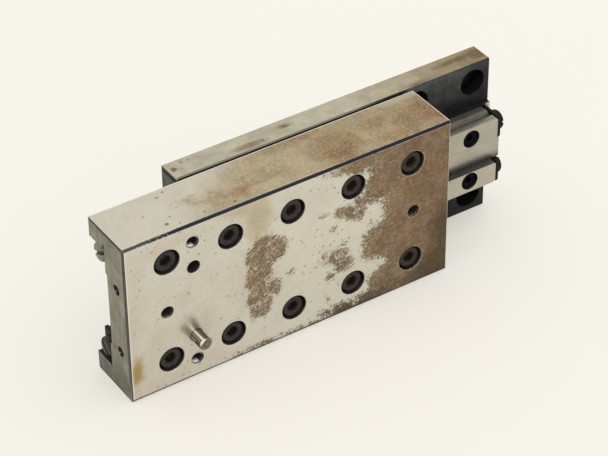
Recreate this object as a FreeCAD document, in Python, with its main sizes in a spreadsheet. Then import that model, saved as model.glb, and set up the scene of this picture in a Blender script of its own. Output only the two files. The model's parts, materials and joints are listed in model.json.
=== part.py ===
"""Crossed-roller linear slide: a channel-shaped table rolling on a ridged base.

The slide stands on its long edge, as it is stored. +X runs along the travel, +Z is up and
-Y is the way the table's working face looks. The origin is the middle of the base's mounting
face. All lengths are millimetres.
"""
import FreeCAD, Part
import math
import os
import Sketcher

# Driving dimensions, each with a name of its own.
SIZES = {
    # Rows of holes along the travel, shared by the rails, the table and the base.
    "hole_pitch": 25.4,
    "hole_count": 5,
    "rail_end": 12.1,
    "end_margin": 4.35,
    # Across the slide, from the middle outwards.
    "ridge_width": 11.4,
    "rail_width": 8.8,
    "rail_gap": 2.0,
    "leg_thickness": 8.0,
    "preload_gap": 0.3,
    "base_overhang": 0.3,
    # Through the slide, from the mounting face forwards.
    "base_thickness": 10.1,
    "land_height": 1.45,
    "rail_height": 9.6,
    "web_thickness": 13.5,
    "leg_overhang": 0.25,
    "ridge_setback": 2.8,
    "land_margin": 0.6,
    "relief_depth": 0.9,
    "relief_margin": 1.2,
    "corner_slot_width": 1.0,
    "corner_slot_depth": 2.0,
    "face_chamfer": 1.0,
    "edge_break": 0.4,
    "mouth_break": 0.25,
    "rail_corner": 1.2,
    # Crossed rollers, their raceways and their cages.
    "roller_diameter": 4.0,
    "roller_length": 3.6,
    "roller_edge": 0.25,
    "roller_clearance": 0.03,
    "roller_count": 14,
    "groove_slot_width": 0.7,
    "groove_slot_depth": 0.3,
    "cage_thickness": 1.0,
    "cage_width": 8.4,
    "cage_end": 1.2,
    "window_clearance": 0.12,
    # Motion: the whole travel, what is left of it past rest and how far right the inner rails sit.
    "travel": 76.2,
    "rest_margin": 1.6,
    "inner_rail_shift": 1.0,
    "stop_clearance": 0.3,
    # Rail holes: a counterbore on one side and a thread right through.
    "rail_hole_offset": 3.9,
    "rail_thread": 5.1,
    "rail_bore": 7.3,
    "rail_bore_depth": 3.7,
    # Screws that hold the table to its rails.
    "table_screw_head": 8.5,
    "table_screw_head_height": 5.0,
    "table_screw_shank": 5.0,
    "table_screw_grip": 4.8,
    "table_screw_key": 4.0,
    "table_screw_key_depth": 2.8,
    "table_bore": 10.0,
    "table_bore_depth": 5.95,
    "table_hole": 5.5,
    # Low-head screws that hold the inner rails to the base.
    "base_screw_head": 6.9,
    "base_screw_head_height": 2.8,
    "base_screw_shank": 4.0,
    "base_screw_grip": 7.0,
    "base_screw_key": 2.5,
    "base_screw_key_depth": 1.7,
    "base_thread": 4.1,
    "base_thread_spare": 1.0,
    "screw_edge": 0.4,
    # Stop plates and slotted screws on the rail ends.
    "stop_plate_thickness": 1.4,
    "stop_plate_margin": 0.15,
    "stop_plate_lip": 0.9,
    "stop_offset": 4.3,
    "stop_screw_head": 7.6,
    "stop_screw_head_height": 2.9,
    "stop_screw_round": 0.9,
    "stop_screw_shank": 3.0,
    "stop_screw_reach": 6.0,
    "stop_thread": 3.1,
    "stop_thread_spare": 1.0,
    "slot_width": 1.2,
    "slot_depth": 1.3,
    # Set screws that press one outer rail towards the rollers.
    "set_screw_diameter": 4.0,
    "set_screw_length": 6.0,
    "set_screw_key": 2.0,
    "set_screw_key_depth": 2.2,
    "set_thread": 4.1,
    # Holes in the table for the load that it carries.
    "tap_diameter": 4.2,
    "tap_mouth": 5.3,
    "tap_depth": 10.0,
    "tap_inset": 26.75,
    "tap_row_spacing": 51.2,
    "axis_tap_inset": 15.65,
    "dowel_diameter": 5.0,
    "dowel_clearance": 0.02,
    "dowel_row_spacing": 30.0,
    "dowel_depth": 9.0,
    "pin_reach": 6.5,
    "pin_edge": 0.5,
    "end_tap_diameter": 4.2,
    "end_tap_depth": 8.0,
    "end_tap_from_face": 6.55,
    "end_tap_upper": 12.5,
    "end_tap_lower": 14.7,
    # Holes in the base for the screws that hold it down.
    "mount_hole": 6.6,
    "mount_bore": 10.6,
    "mount_bore_depth": 6.3,
    "mount_inset": 7.55,
    "mount_row_spacing": 51.4,
}

# Sizes worked out from the driving ones.
DERIVED = {
    "hole_span": "(hole_count - 1) * hole_pitch",
    "rail_length": "hole_span + 2 * rail_end",
    "plate_length": "rail_length + 2 * end_margin",
    "inner_back": "ridge_width / 2",
    "inner_face": "inner_back + rail_width",
    "gap_centre": "inner_face + rail_gap / 2",
    "outer_face": "inner_face + rail_gap",
    "outer_back": "outer_face + rail_width",
    "lower_back": "outer_back + preload_gap",
    "half_width": "outer_back + leg_thickness",
    "base_half": "half_width + base_overhang",
    "inner_row": "inner_back + rail_hole_offset",
    "outer_row": "outer_back - rail_hole_offset",
    "rail_seat": "base_thickness + land_height",
    "groove_plane": "rail_seat + rail_height / 2",
    "rail_front": "rail_seat + rail_height",
    "leg_end": "rail_seat - leg_overhang",
    "face": "rail_front + web_thickness",
    "relief_half": "outer_face - relief_margin",
    "groove_depth": "(roller_diameter / 2 + roller_clearance) * sqrt(2) - rail_gap / 2",
    "groove_floor": "rail_width - groove_depth - groove_slot_depth",
    "groove_step": "rail_width - groove_depth + groove_slot_width / 2",
    "roller_span": "rail_length - travel / 2 - roller_diameter - 2 * (cage_end + stop_clearance)",
    "roller_pitch": "roller_span / (roller_count - 1)",
    "cage_length": "roller_span + roller_diameter + 2 * cage_end",
    "rest_shift": "travel / 2 - inner_rail_shift - rest_margin",
    "cage_shift": "(rest_shift - inner_rail_shift) / 2",
    "window_half": "(roller_diameter + roller_length) / 2 * sqrt(0.5) + window_clearance",
    "tap_x": "plate_length / 2 - tap_inset",
    "axis_tap_x": "plate_length / 2 - axis_tap_inset",
    "mount_x": "plate_length / 2 - mount_inset",
    "table_shank_length": "web_thickness - table_bore_depth + table_screw_grip",
    "base_shank_length": "rail_height - rail_bore_depth + base_screw_grip",
}

UPRIGHT = FreeCAD.Rotation()
TURNED_X = FreeCAD.Rotation(FreeCAD.Vector(1, 0, 0), 180)
TURNED_Y = FreeCAD.Rotation(FreeCAD.Vector(0, 1, 0), 180)
TURNED_Z = FreeCAD.Rotation(FreeCAD.Vector(0, 0, 1), 180)
TILT = 45
SLOT_TURN = 25

doc = FreeCAD.newDocument("LinearSlide")
sheet = doc.addObject("Spreadsheet::Sheet", "Sizes")
bodies = []


def fill_sheet():
    """Write the driving sizes, and the formulas that follow from them, into the sheet."""
    cells = {alias: str(size) for alias, size in SIZES.items()}
    cells.update({alias: "=" + formula for alias, formula in DERIVED.items()})
    for row, (alias, text) in enumerate(cells.items(), start=1):
        sheet.set(f"A{row}", alias)
        sheet.setAlias(f"B{row}", alias)
        sheet.set(f"B{row}", text)
    doc.recompute()


def size(text):
    """The present value of an expression on the sheet's sizes."""
    result = sheet.evalExpression(text)
    return float(getattr(result, "Value", result))


def of(alias):
    """The expression that reads one size from the sheet."""
    return "Sizes." + alias


# Small tools for bodies, sketches and features.
def new_body(label, rotation=UPRIGHT, x="0", y="0", z="0"):
    """Start a sub-part, turned and placed by expressions."""
    body = doc.addObject("PartDesign::Body", label)
    body.Label = label
    body.Placement = FreeCAD.Placement(FreeCAD.Vector(size(x), size(y), size(z)), rotation)
    for axis, text in zip("xyz", (x, y, z)):
        body.setExpression("Placement.Base." + axis, text)
    bodies.append(body)
    return body


def datum(body, role):
    """One of the body's own origin planes or axes."""
    return next(part for part in body.Origin.OriginFeatures if part.Role == role)


def new_sketch(body, role, offset="0"):
    """Start a sketch parallel to an origin plane, offset along that plane's normal."""
    sketch = body.newObject("Sketcher::SketchObject", body.Name + "_sketch")
    sketch.AttachmentSupport = (datum(body, role), "")
    sketch.MapMode = "FlatFace"
    sketch.setExpression("AttachmentOffset.Base.z", offset)
    return sketch


def hold_point(sketch, geometry, point, across, up):
    """Hold a point of a sketch at two distances from the sketch's origin."""
    for kind, axis, text in (("DistanceX", -2, across), ("DistanceY", -1, up)):
        if text == "0":
            sketch.addConstraint(Sketcher.Constraint("PointOnObject", geometry, point, axis))
        else:
            rule = Sketcher.Constraint(kind, -1, 1, geometry, point, size(text))
            number = sketch.addConstraint(rule)
            sketch.setExpression(f"Constraints[{number}]", text)


def outline(sketch, corners):
    """Draw a closed outline through corners given as pairs of expressions."""
    first = sketch.GeometryCount
    count = len(corners)
    places = [FreeCAD.Vector(size(across), size(up), 0) for across, up in corners]
    for i in range(count):
        sketch.addGeometry(Part.LineSegment(places[i], places[(i + 1) % count]))
    for i in range(count):
        following = first + (i + 1) % count
        sketch.addConstraint(Sketcher.Constraint("Coincident", first + i, 2, following, 1))
    for i, (across, up) in enumerate(corners):
        hold_point(sketch, first + i, 1, across, up)


def rectangle(sketch, left, bottom, right, top):
    """Draw a rectangle between two opposite corners."""
    outline(sketch, [(left, bottom), (right, bottom), (right, top), (left, top)])


def circle(sketch, across, up, diameter):
    """Draw a circle about a point."""
    centre = FreeCAD.Vector(size(across), size(up), 0)
    ring = Part.Circle(centre, FreeCAD.Vector(0, 0, 1), size(diameter) / 2)
    geometry = sketch.addGeometry(ring)
    hold_point(sketch, geometry, 3, across, up)
    number = sketch.addConstraint(Sketcher.Constraint("Diameter", geometry, size(diameter)))
    sketch.setExpression(f"Constraints[{number}]", diameter)


def pad(body, sketch, length, side="Symmetric"):
    """Thicken a sketch."""
    feature = body.newObject("PartDesign::Pad", body.Name + "_pad")
    feature.Profile = sketch
    feature.SideType = side
    feature.setExpression("Length", length)
    return feature


def pocket(body, sketch, depth=None, reverse=False):
    """Cut a sketch into the body, right through if no depth is given."""
    feature = body.newObject("PartDesign::Pocket", body.Name + "_pocket")
    feature.Profile = sketch
    feature.Reversed = reverse
    if depth is None:
        feature.Type = "ThroughAll"
        feature.SideType = "Symmetric"
    else:
        feature.setExpression("Length", depth)
    return feature


def turn(body, sketch, axis):
    """Turn a half section about one of its sketch's axes."""
    feature = body.newObject("PartDesign::Revolution", body.Name + "_turned")
    feature.Profile = sketch
    feature.ReferenceAxis = (sketch, [axis])
    feature.Angle = 360
    return feature


def drill(body, sketch, diameter, depth=None, reverse=False, bore=None, mouth=None):
    """Drill flat-bottomed holes at a sketch's circles, with a counterbore or a countersunk mouth."""
    doc.recompute()
    feature = body.newObject("PartDesign::Hole", body.Name + "_hole")
    feature.Profile = sketch
    feature.ThreadType = "None"
    feature.DrillPoint = "Flat"
    feature.Reversed = reverse
    feature.setExpression("Diameter", diameter)
    if depth is None:
        feature.DepthType = "ThroughAll"
    else:
        feature.DepthType = "Dimension"
        feature.setExpression("Depth", depth)
    if bore:
        feature.HoleCutType = "Counterbore"
        feature.HoleCutCustomValues = True
        feature.setExpression("HoleCutDiameter", bore[0])
        feature.setExpression("HoleCutDepth", bore[1])
    if mouth:
        feature.HoleCutType = "Countersink"
        feature.HoleCutCustomValues = True
        feature.HoleCutCountersinkAngle = 90
        feature.setExpression("HoleCutDiameter", mouth)
    return feature


def row(body, features, length, count):
    """Repeat features along the travel, over a whole length."""
    doc.recompute()
    pattern = body.newObject("PartDesign::LinearPattern", body.Name + "_row")
    pattern.Originals = features
    pattern.Direction = (datum(body, "X_Axis"), [""])
    pattern.setExpression("Length", length)
    pattern.setExpression("Occurrences", count)
    body.Tip = pattern
    return pattern


def both_ends(body, feature):
    """Repeat a feature at the body's other end."""
    doc.recompute()
    mirror = body.newObject("PartDesign::Mirrored", body.Name + "_ends")
    mirror.Originals = [feature]
    mirror.MirrorPlane = (datum(body, "YZ_Plane"), [""])
    body.Tip = mirror


def finish_edges(body, kind, width, chosen):
    """Chamfer or fillet the edges that a test on their bounding box picks out."""
    doc.recompute()
    solid = body.Tip
    names = [f"Edge{i}" for i, edge in enumerate(solid.Shape.Edges, start=1) if chosen(edge.BoundBox)]
    feature = body.newObject("PartDesign::" + kind, f"{body.Name}_{kind.lower()}")
    feature.Base = (solid, names)
    feature.setExpression("Radius" if kind == "Fillet" else "Size", width)


def near(a, b):
    """True where two lengths are the same, apart from rounding."""
    return abs(a - b) < 1e-6


def hexagon(sketch, across_flats):
    """Draw a hexagon about the sketch's origin, for a key."""
    corners = []
    for i in range(6):
        reach = f"{across_flats} / sqrt(3)"
        corners.append((f"{reach} * cos({60 * i + 30})", f"{reach} * sin({60 * i + 30})"))
    outline(sketch, corners)


# The base and what is screwed to it.
def make_base():
    """A flat plate with a raised land under each inner rail and a ridge between them."""
    body = new_body("base_plate")
    top, land, front = of("base_half"), "Sizes.inner_face + Sizes.land_margin", of("base_thickness")
    seat, crest = of("rail_seat"), "Sizes.rail_front - Sizes.ridge_setback"
    upper = [("0", top), (f"-{front}", top), (f"-{front}", land), (f"-{seat}", land),
             (f"-{seat}", of("inner_back")), (f"-({crest})", of("inner_back"))]
    lower = [(y, f"-({z})") for y, z in reversed(upper)]
    section = new_sketch(body, "YZ_Plane")
    outline(section, upper + lower)
    pad(body, section, of("plate_length"))
    half_width, ridge_front = size(top), -size(crest)

    def outer_edge(box):
        return near(box.YLength + box.ZLength, 0) and near(abs(box.ZMin), half_width)

    def ridge_edge(box):
        return near(box.YMin, ridge_front) and near(box.YMax, ridge_front)

    finish_edges(body, "Chamfer", of("edge_break"), lambda box: outer_edge(box) or ridge_edge(box))

    holes = new_sketch(body, "XZ_Plane", front)
    for side in ("", "-"):
        for step in ("0", of("hole_pitch")):
            for end in ("", "-"):
                circle(holes, f"{end}({of('mount_x')} - {step})", f"{side}{of('mount_row_spacing')} / 2",
                       of("mount_hole"))
    drill(body, holes, of("mount_hole"), bore=(of("mount_bore"), of("mount_bore_depth")))

    threads = new_sketch(body, "XZ_Plane", seat)
    for side in ("", "-"):
        circle(threads, "Sizes.inner_rail_shift - Sizes.hole_span / 2", side + of("inner_row"),
               of("base_thread"))
    first = drill(body, threads, of("base_thread"), depth="Sizes.base_screw_grip + Sizes.base_thread_spare")
    row(body, [first], of("hole_span"), of("hole_count"))


def make_rail(label, rotation, x, y, z):
    """A ground rail with a right-angled raceway along one side.

    Its own Y = 0 is the seat, its own Z = 0 is its back, and the raceway looks along its own +Z.
    """
    body = new_body(label, rotation, x, y, z)
    middle, half_slot = "Sizes.rail_height / 2", "Sizes.groove_slot_width / 2"
    side, mouth = of("rail_width"), of("groove_depth")
    section = new_sketch(body, "YZ_Plane")
    outline(section, [
        ("0", "0"),
        ("0", side),
        (f"-({middle} - {mouth})", side),
        (f"-({middle} - {half_slot})", of("groove_step")),
        (f"-({middle} - {half_slot})", of("groove_floor")),
        (f"-({middle} + {half_slot})", of("groove_floor")),
        (f"-({middle} + {half_slot})", of("groove_step")),
        (f"-({middle} + {mouth})", side),
        (f"-{of('rail_height')}", side),
        (f"-{of('rail_height')}", "0"),
    ])
    pad(body, section, of("rail_length"))
    end_plane, raceway_side = size("Sizes.rail_length / 2"), size(side)

    def end_corner(box):
        at_end = near(box.XLength + box.ZLength, 0) and near(abs(box.XMin), end_plane)
        return at_end and (near(box.ZMin, 0) or near(box.ZMin, raceway_side))

    finish_edges(body, "Fillet", of("rail_corner"), end_corner)
    holes = new_sketch(body, "XZ_Plane", of("rail_height"))
    circle(holes, f"-{of('hole_span')} / 2", of("rail_hole_offset"), of("rail_thread"))
    first = drill(body, holes, of("rail_thread"), bore=(of("rail_bore"), of("rail_bore_depth")))
    row(body, [first], of("hole_span"), of("hole_count"))
    tip = new_sketch(body, "YZ_Plane", "Sizes.rail_length / 2")
    circle(tip, f"-{middle}", of("stop_offset"), of("stop_thread"))
    end = drill(body, tip, of("stop_thread"), depth="Sizes.stop_screw_reach + Sizes.stop_thread_spare")
    both_ends(body, end)


def make_cap_screws(label, kind, length, x, y, z):
    """A row of socket-head cap screws along the travel, heads towards -Y."""
    body = new_body(label, UPRIGHT, f"{x} - Sizes.hole_span / 2", y, z)
    head, shank = f"Sizes.{kind}_screw_head / 2", f"Sizes.{kind}_screw_shank / 2"
    height, edge = of(kind + "_screw_head_height"), of("screw_edge")
    half = new_sketch(body, "XY_Plane")
    outline(half, [("0", f"-{height}"), (f"{head} - {edge}", f"-{height}"), (head, f"-({height} - {edge})"),
                   (head, "0"), (shank, "0"), (shank, f"{length} - {edge}"), (f"{shank} - {edge}", length),
                   ("0", length)])
    blank = turn(body, half, "V_Axis")
    key = new_sketch(body, "XZ_Plane", height)
    hexagon(key, of(kind + "_screw_key"))
    socket = pocket(body, key, of(kind + "_screw_key_depth"))
    row(body, [blank, socket], of("hole_span"), of("hole_count"))


def make_stop(name, rotation, x, z, lip, turn_angle):
    """A stop plate on a rail's end, and the slotted screw that holds it.

    Their own +X points out of the rail's end, and their own +Z points to the raceway. The lip is
    how far the plate reaches past the rail, into the way of the cage.
    """
    axis = f"-{of('groove_plane')}"
    plate = new_body(name + "_stop_plate", rotation, x, axis, z)
    margin = of("stop_plate_margin")
    blank = new_sketch(plate, "YZ_Plane")
    reach = f"Sizes.rail_height / 2 - {margin}"
    rectangle(blank, f"-({reach})", f"-({of('stop_offset')} - {margin})",
              reach, f"Sizes.rail_width - {of('stop_offset')} + {lip}")
    circle(blank, "0", "0", of("stop_thread"))
    pad(plate, blank, of("stop_plate_thickness"), "One side")

    roll = FreeCAD.Rotation(FreeCAD.Vector(1, 0, 0), turn_angle)
    screw = new_body(name + "_stop_screw", rotation * roll, x, axis, z)
    head, shank, rounding = "Sizes.stop_screw_head / 2", "Sizes.stop_screw_shank / 2", of("stop_screw_round")
    under = of("stop_plate_thickness")
    top = f"{under} + Sizes.stop_screw_head_height"
    half = new_sketch(screw, "XY_Plane")
    outline(half, [(f"-{of('stop_screw_reach')}", "0"), (f"-{of('stop_screw_reach')}", shank), (under, shank),
                   (under, head), (f"{top} - {rounding}", head), (top, f"{head} - {rounding}"), (top, "0")])
    turn(screw, half, "H_Axis")
    slot = new_sketch(screw, "YZ_Plane", top)
    rectangle(slot, f"-({head})", "-Sizes.slot_width / 2", head, "Sizes.slot_width / 2")
    pocket(screw, slot, of("slot_depth"))


# The table and what rides with it.
def make_table():
    """A channel whose web is the working face and whose two legs hold the outer rails."""
    body = new_body("carriage_table", UPRIGHT, f"-{of('rest_shift')}")
    face, top, seat, end = of("face"), of("half_width"), of("rail_front"), of("leg_end")
    slot, relief = f"({seat} - Sizes.corner_slot_width)", f"({seat} + Sizes.relief_depth)"

    def leg(back):
        undercut = f"{back} + Sizes.corner_slot_depth"
        return [(f"-{face}", top), (f"-{end}", top), (f"-{end}", back), (f"-{slot}", back),
                (f"-{slot}", undercut), (f"-{seat}", undercut),
                (f"-{seat}", of("relief_half")), (f"-{relief}", of("relief_half"))]

    section = new_sketch(body, "YZ_Plane")
    lower = [(y, f"-({z})") for y, z in reversed(leg(of("lower_back")))]
    outline(section, leg(of("outer_back")) + lower)
    pad(body, section, of("plate_length"))
    front, height = -size(face), size(top)

    def face_edge(box):
        return near(box.YMin, front) and near(box.YMax, front)

    def top_edge(box):
        return face_edge(box) and near(box.ZMin, height)

    def bore_mouth(box):
        mouths = [size(of(alias)) for alias in ("table_bore", "dowel_diameter")]
        return face_edge(box) and any(near(box.XLength, across) for across in mouths)

    finish_edges(body, "Chamfer", of("edge_break"), lambda box: face_edge(box) and not top_edge(box))
    finish_edges(body, "Chamfer", of("face_chamfer"), top_edge)

    bores = new_sketch(body, "XZ_Plane", face)
    for side in ("", "-"):
        circle(bores, f"-{of('hole_span')} / 2", side + of("outer_row"), of("table_hole"))
    first = drill(body, bores, of("table_hole"), bore=(of("table_bore"), of("table_bore_depth")))
    row(body, [first], of("hole_span"), of("hole_count"))

    taps = new_sketch(body, "XZ_Plane", face)
    for side in ("", "-"):
        circle(taps, f"-{of('tap_x')}", f"{side}{of('tap_row_spacing')} / 2", of("tap_diameter"))
        circle(taps, side + of("axis_tap_x"), "0", of("tap_diameter"))
    drill(body, taps, of("tap_diameter"), depth=of("tap_depth"), mouth=of("tap_mouth"))

    dowels = new_sketch(body, "XZ_Plane", face)
    for side in ("", "-"):
        circle(dowels, f"-{of('tap_x')}", f"{side}{of('dowel_row_spacing')} / 2", of("dowel_diameter"))
    drill(body, dowels, of("dowel_diameter"), depth=of("dowel_depth"))
    finish_edges(body, "Chamfer", of("mouth_break"), bore_mouth)

    end_taps = new_sketch(body, "YZ_Plane", "-Sizes.plate_length / 2")
    for height in (of("end_tap_upper"), f"-{of('end_tap_lower')}"):
        circle(end_taps, f"-({face} - Sizes.end_tap_from_face)", height, of("end_tap_diameter"))
    drill(body, end_taps, of("end_tap_diameter"), depth=of("end_tap_depth"), reverse=True)

    set_holes = new_sketch(body, "XY_Plane", f"-{top}")
    circle(set_holes, f"-{of('hole_span')} / 2", f"-{of('groove_plane')}", of("set_thread"))
    through_leg = "Sizes.half_width - Sizes.lower_back"
    first = drill(body, set_holes, of("set_thread"), depth=through_leg, reverse=True)
    row(body, [first], of("hole_span"), of("hole_count"))


def make_set_screws():
    """A row of headless screws in the lower leg, bearing on the back of the lower outer rail."""
    body = new_body("preload_screws", UPRIGHT, f"-{of('rest_shift')} - Sizes.hole_span / 2",
                    f"-{of('groove_plane')}", f"-{of('outer_back')}")
    radius, length, edge = "Sizes.set_screw_diameter / 2", of("set_screw_length"), of("screw_edge")
    half = new_sketch(body, "XZ_Plane")
    outline(half, [("0", "0"), (f"{radius} - {edge}", "0"), (radius, f"-{edge}"), (radius, f"-{length}"),
                   ("0", f"-{length}")])
    blank = turn(body, half, "V_Axis")
    key = new_sketch(body, "XY_Plane", f"-{length}")
    hexagon(key, of("set_screw_key"))
    socket = pocket(body, key, of("set_screw_key_depth"), reverse=True)
    row(body, [blank, socket], of("hole_span"), of("hole_count"))


def make_dowel_pin():
    """A locating pin pressed into the lower dowel hole, standing out of the working face."""
    body = new_body("dowel_pin", UPRIGHT, f"-{of('rest_shift')} - {of('tap_x')}", f"-{of('face')}",
                    f"-{of('dowel_row_spacing')} / 2")
    radius, edge = "(Sizes.dowel_diameter - Sizes.dowel_clearance) / 2", of("pin_edge")
    reach, depth = of("pin_reach"), of("dowel_depth")
    half = new_sketch(body, "XY_Plane")
    outline(half, [("0", f"-{reach}"), (f"{radius} - {edge}", f"-{reach}"), (radius, f"-({reach} - {edge})"),
                   (radius, f"{depth} - {edge}"), (f"{radius} - {edge}", depth), ("0", depth)])
    turn(body, half, "V_Axis")


# The rolling sets between the rails, which travel half as far as the table.
def make_rolling_set(name, side):
    """A flat cage with a window for each roller, and the rollers, tilted both ways in turn."""
    middle, height = f"-{of('cage_shift')}", side + of("gap_centre")
    cage = new_body(name + "_cage", UPRIGHT, middle, f"-{of('groove_plane')}", height)
    strip = new_sketch(cage, "XY_Plane")
    half_length, half_width = "Sizes.cage_length / 2", "Sizes.cage_width / 2"
    rectangle(strip, f"-{half_length}", f"-{half_width}", half_length, half_width)
    pad(cage, strip, of("cage_thickness"))
    window = new_sketch(cage, "XY_Plane")
    start, room = "Sizes.roller_span / 2", "Sizes.roller_diameter / 2 + Sizes.window_clearance"
    rectangle(window, f"-({start} + {room})", f"-{of('window_half')}",
              f"-({start} - ({room}))", of("window_half"))
    row(cage, [pocket(cage, window)], of("roller_span"), of("roller_count"))

    count = int(size(of("roller_count")))
    for letter, order, tilt in (("a", 0, TILT), ("b", 1, -TILT)):
        members = (count - order + 1) // 2
        rotation = FreeCAD.Rotation(FreeCAD.Vector(1, 0, 0), tilt)
        first = f"{middle} - {start} + {order} * Sizes.roller_pitch"
        rollers = new_body(f"{name}_rollers_{letter}", rotation, first, f"-{of('groove_plane')}", height)
        radius, reach, edge = "Sizes.roller_diameter / 2", "Sizes.roller_length / 2", of("roller_edge")
        half = new_sketch(rollers, "XZ_Plane")
        end, shoulder = f"{radius} - {edge}", f"({reach} - {edge})"
        outline(half, [("0", f"-{reach}"), (end, f"-{reach}"), (radius, f"-{shoulder}"),
                       (radius, shoulder), (end, reach), ("0", reach)])
        roller = turn(rollers, half, "V_Axis")
        row(rollers, [roller], f"{2 * (members - 1)} * Sizes.roller_pitch", str(members))


def make_slide():
    """Every sub-part, from the base forwards."""
    table, inner = f"-{of('rest_shift')}", of("inner_rail_shift")
    inner_stop = "(Sizes.inner_back + Sizes.stop_offset)"
    outer_stop = "(Sizes.outer_back - Sizes.stop_offset)"
    make_base()
    make_rail("upper_inner_rail", UPRIGHT, inner, f"-{of('rail_seat')}", of("inner_back"))
    make_rail("lower_inner_rail", TURNED_Y, inner, f"-{of('rail_seat')}", f"-{of('inner_back')}")
    make_rail("upper_outer_rail", TURNED_X, table, f"-{of('rail_front')}", of("outer_back"))
    make_rail("lower_outer_rail", TURNED_Z, table, f"-{of('rail_front')}", f"-{of('outer_back')}")
    make_table()
    for name, side in (("upper", ""), ("lower", "-")):
        make_cap_screws(f"{name}_base_screws", "base", of("base_shank_length"), inner,
                        "-(Sizes.rail_front - Sizes.rail_bore_depth)", side + of("inner_row"))
        make_cap_screws(f"{name}_table_screws", "table", of("table_shank_length"), table,
                        "-(Sizes.face - Sizes.table_bore_depth)", side + of("outer_row"))
        make_rolling_set(name, side)
    flush, lip = "-" + of("stop_plate_margin"), of("stop_plate_lip")
    rails = (("upper_inner", inner, inner_stop, flush, True),
             ("lower_inner", inner, "-" + inner_stop, flush, False),
             ("upper_outer", table, outer_stop, lip, False),
             ("lower_outer", table, "-" + outer_stop, lip, True))
    for index, (name, x, z, past_rail, faces_up) in enumerate(rails):
        right, left = (UPRIGHT, TURNED_Z) if faces_up else (TURNED_X, TURNED_Y)
        right_end, left_end = f"{x} + Sizes.rail_length / 2", f"{x} - Sizes.rail_length / 2"
        make_stop(name + "_right", right, right_end, z, past_rail, SLOT_TURN * index)
        make_stop(name + "_left", left, left_end, z, past_rail, -SLOT_TURN * (index + 1))
    make_set_screws()
    make_dowel_pin()


def check_model():
    """Stop if any object failed, or any sub-part isn't a sound solid."""
    failed = [item.Label for item in doc.Objects if {"Invalid", "Error"} & set(item.State)]
    unsound = [body.Label for body in bodies if body.Shape.isNull() or not body.Shape.isValid()]
    if failed or unsound:
        raise RuntimeError(f"failed features {failed}, unsound sub-parts {unsound}")


def write_parts():
    """Write one file for each sub-part."""
    os.makedirs("parts", exist_ok=True)
    for body in bodies:
        body.Shape.exportStep(f"parts/{body.Label}.step")
        print(f"{body.Label}: {len(body.Shape.Solids)} solids, {body.Shape.Volume:.1f} mm3")


fill_sheet()
make_slide()
doc.recompute()
check_model()
write_parts()
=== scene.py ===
"""Looks of a crossed-roller linear slide, worked up around its packed construction.

Lengths are metres, and millimetres where a name or a shader says so. +X runs along the travel,
+Z is up and -Y is the way the table's working face looks.
"""
import json
import math

import bmesh
import bpy
from bpy.props import FloatProperty, FloatVectorProperty, PointerProperty
from mathutils import Matrix, Vector


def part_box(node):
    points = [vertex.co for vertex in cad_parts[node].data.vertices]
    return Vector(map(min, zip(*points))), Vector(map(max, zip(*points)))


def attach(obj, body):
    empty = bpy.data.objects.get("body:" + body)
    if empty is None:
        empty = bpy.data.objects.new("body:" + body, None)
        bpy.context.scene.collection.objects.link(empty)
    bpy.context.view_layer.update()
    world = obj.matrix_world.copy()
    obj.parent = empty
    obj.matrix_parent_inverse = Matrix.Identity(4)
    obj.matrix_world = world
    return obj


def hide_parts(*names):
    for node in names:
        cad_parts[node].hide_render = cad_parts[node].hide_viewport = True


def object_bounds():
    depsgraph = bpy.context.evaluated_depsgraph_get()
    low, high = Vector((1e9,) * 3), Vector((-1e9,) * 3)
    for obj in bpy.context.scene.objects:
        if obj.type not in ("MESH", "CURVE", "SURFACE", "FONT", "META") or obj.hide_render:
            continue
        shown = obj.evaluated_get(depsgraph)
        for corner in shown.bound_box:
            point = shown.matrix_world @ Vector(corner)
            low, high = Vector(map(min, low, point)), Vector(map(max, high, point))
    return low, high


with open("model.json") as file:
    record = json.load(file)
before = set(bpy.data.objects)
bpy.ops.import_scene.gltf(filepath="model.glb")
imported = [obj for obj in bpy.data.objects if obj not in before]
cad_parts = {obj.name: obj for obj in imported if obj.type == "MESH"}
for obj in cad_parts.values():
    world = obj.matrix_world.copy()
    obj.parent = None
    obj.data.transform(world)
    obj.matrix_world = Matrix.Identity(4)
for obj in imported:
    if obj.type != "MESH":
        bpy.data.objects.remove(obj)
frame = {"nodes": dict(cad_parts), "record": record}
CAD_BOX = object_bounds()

bl_info = {
    "name": "Crossed-roller slide",
    "version": (1, 0, 0),
    "blender": (4, 5, 0),
    "location": "3D View > Sidebar > Slide",
    "description": "Finishes and fine detail for a crossed-roller linear slide",
    "category": "Object",
}

MM = 0.001
TABLE_LOW, TABLE_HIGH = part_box("carriage_table")
BASE_LOW, BASE_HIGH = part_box("base_plate")
MOUNTS = {mount["name"]: mount for mount in frame["record"]["mounts"]}
ROWS = ("upper", "lower")
RAILS = ("upper_inner", "lower_inner", "upper_outer", "lower_outer")
ENDS = ("right", "left")

# For the shaders, in millimetres. Near is the left, front and lower corner, and far the other one.
NEAR, FAR = TABLE_LOW / MM, TABLE_HIGH / MM
BASE_NEAR, BASE_FAR = BASE_LOW / MM, BASE_HIGH / MM
MIDDLE = (NEAR + FAR) / 2
# How thick the base plate and its lands are, and how the rails' holes are set out.
BASE_FRONT = 10.1
LAND_HEIGHT = 1.45
LAND_SEAT = -BASE_FRONT - LAND_HEIGHT
RAIL_HOLE_OFFSET = 3.9
HOLE_PITCH = 25.4
# Where, off the middle, the inner rails end and the outer ones begin.
BETWEEN_RAILS = (15.4, 15.6)
# Where along the base the painted highlight on its upper front edge begins, and where it is whole.
EDGE_HIGHLIGHT_STRETCH = (24.0, 4.0)
# How deep marks reach below the surface, and how far a film's edge wanders.
FACE_MARK_DEPTH = 1.4
TOP_MARK_DEPTH = 3.0
FILM_WANDER = 26.0
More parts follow.
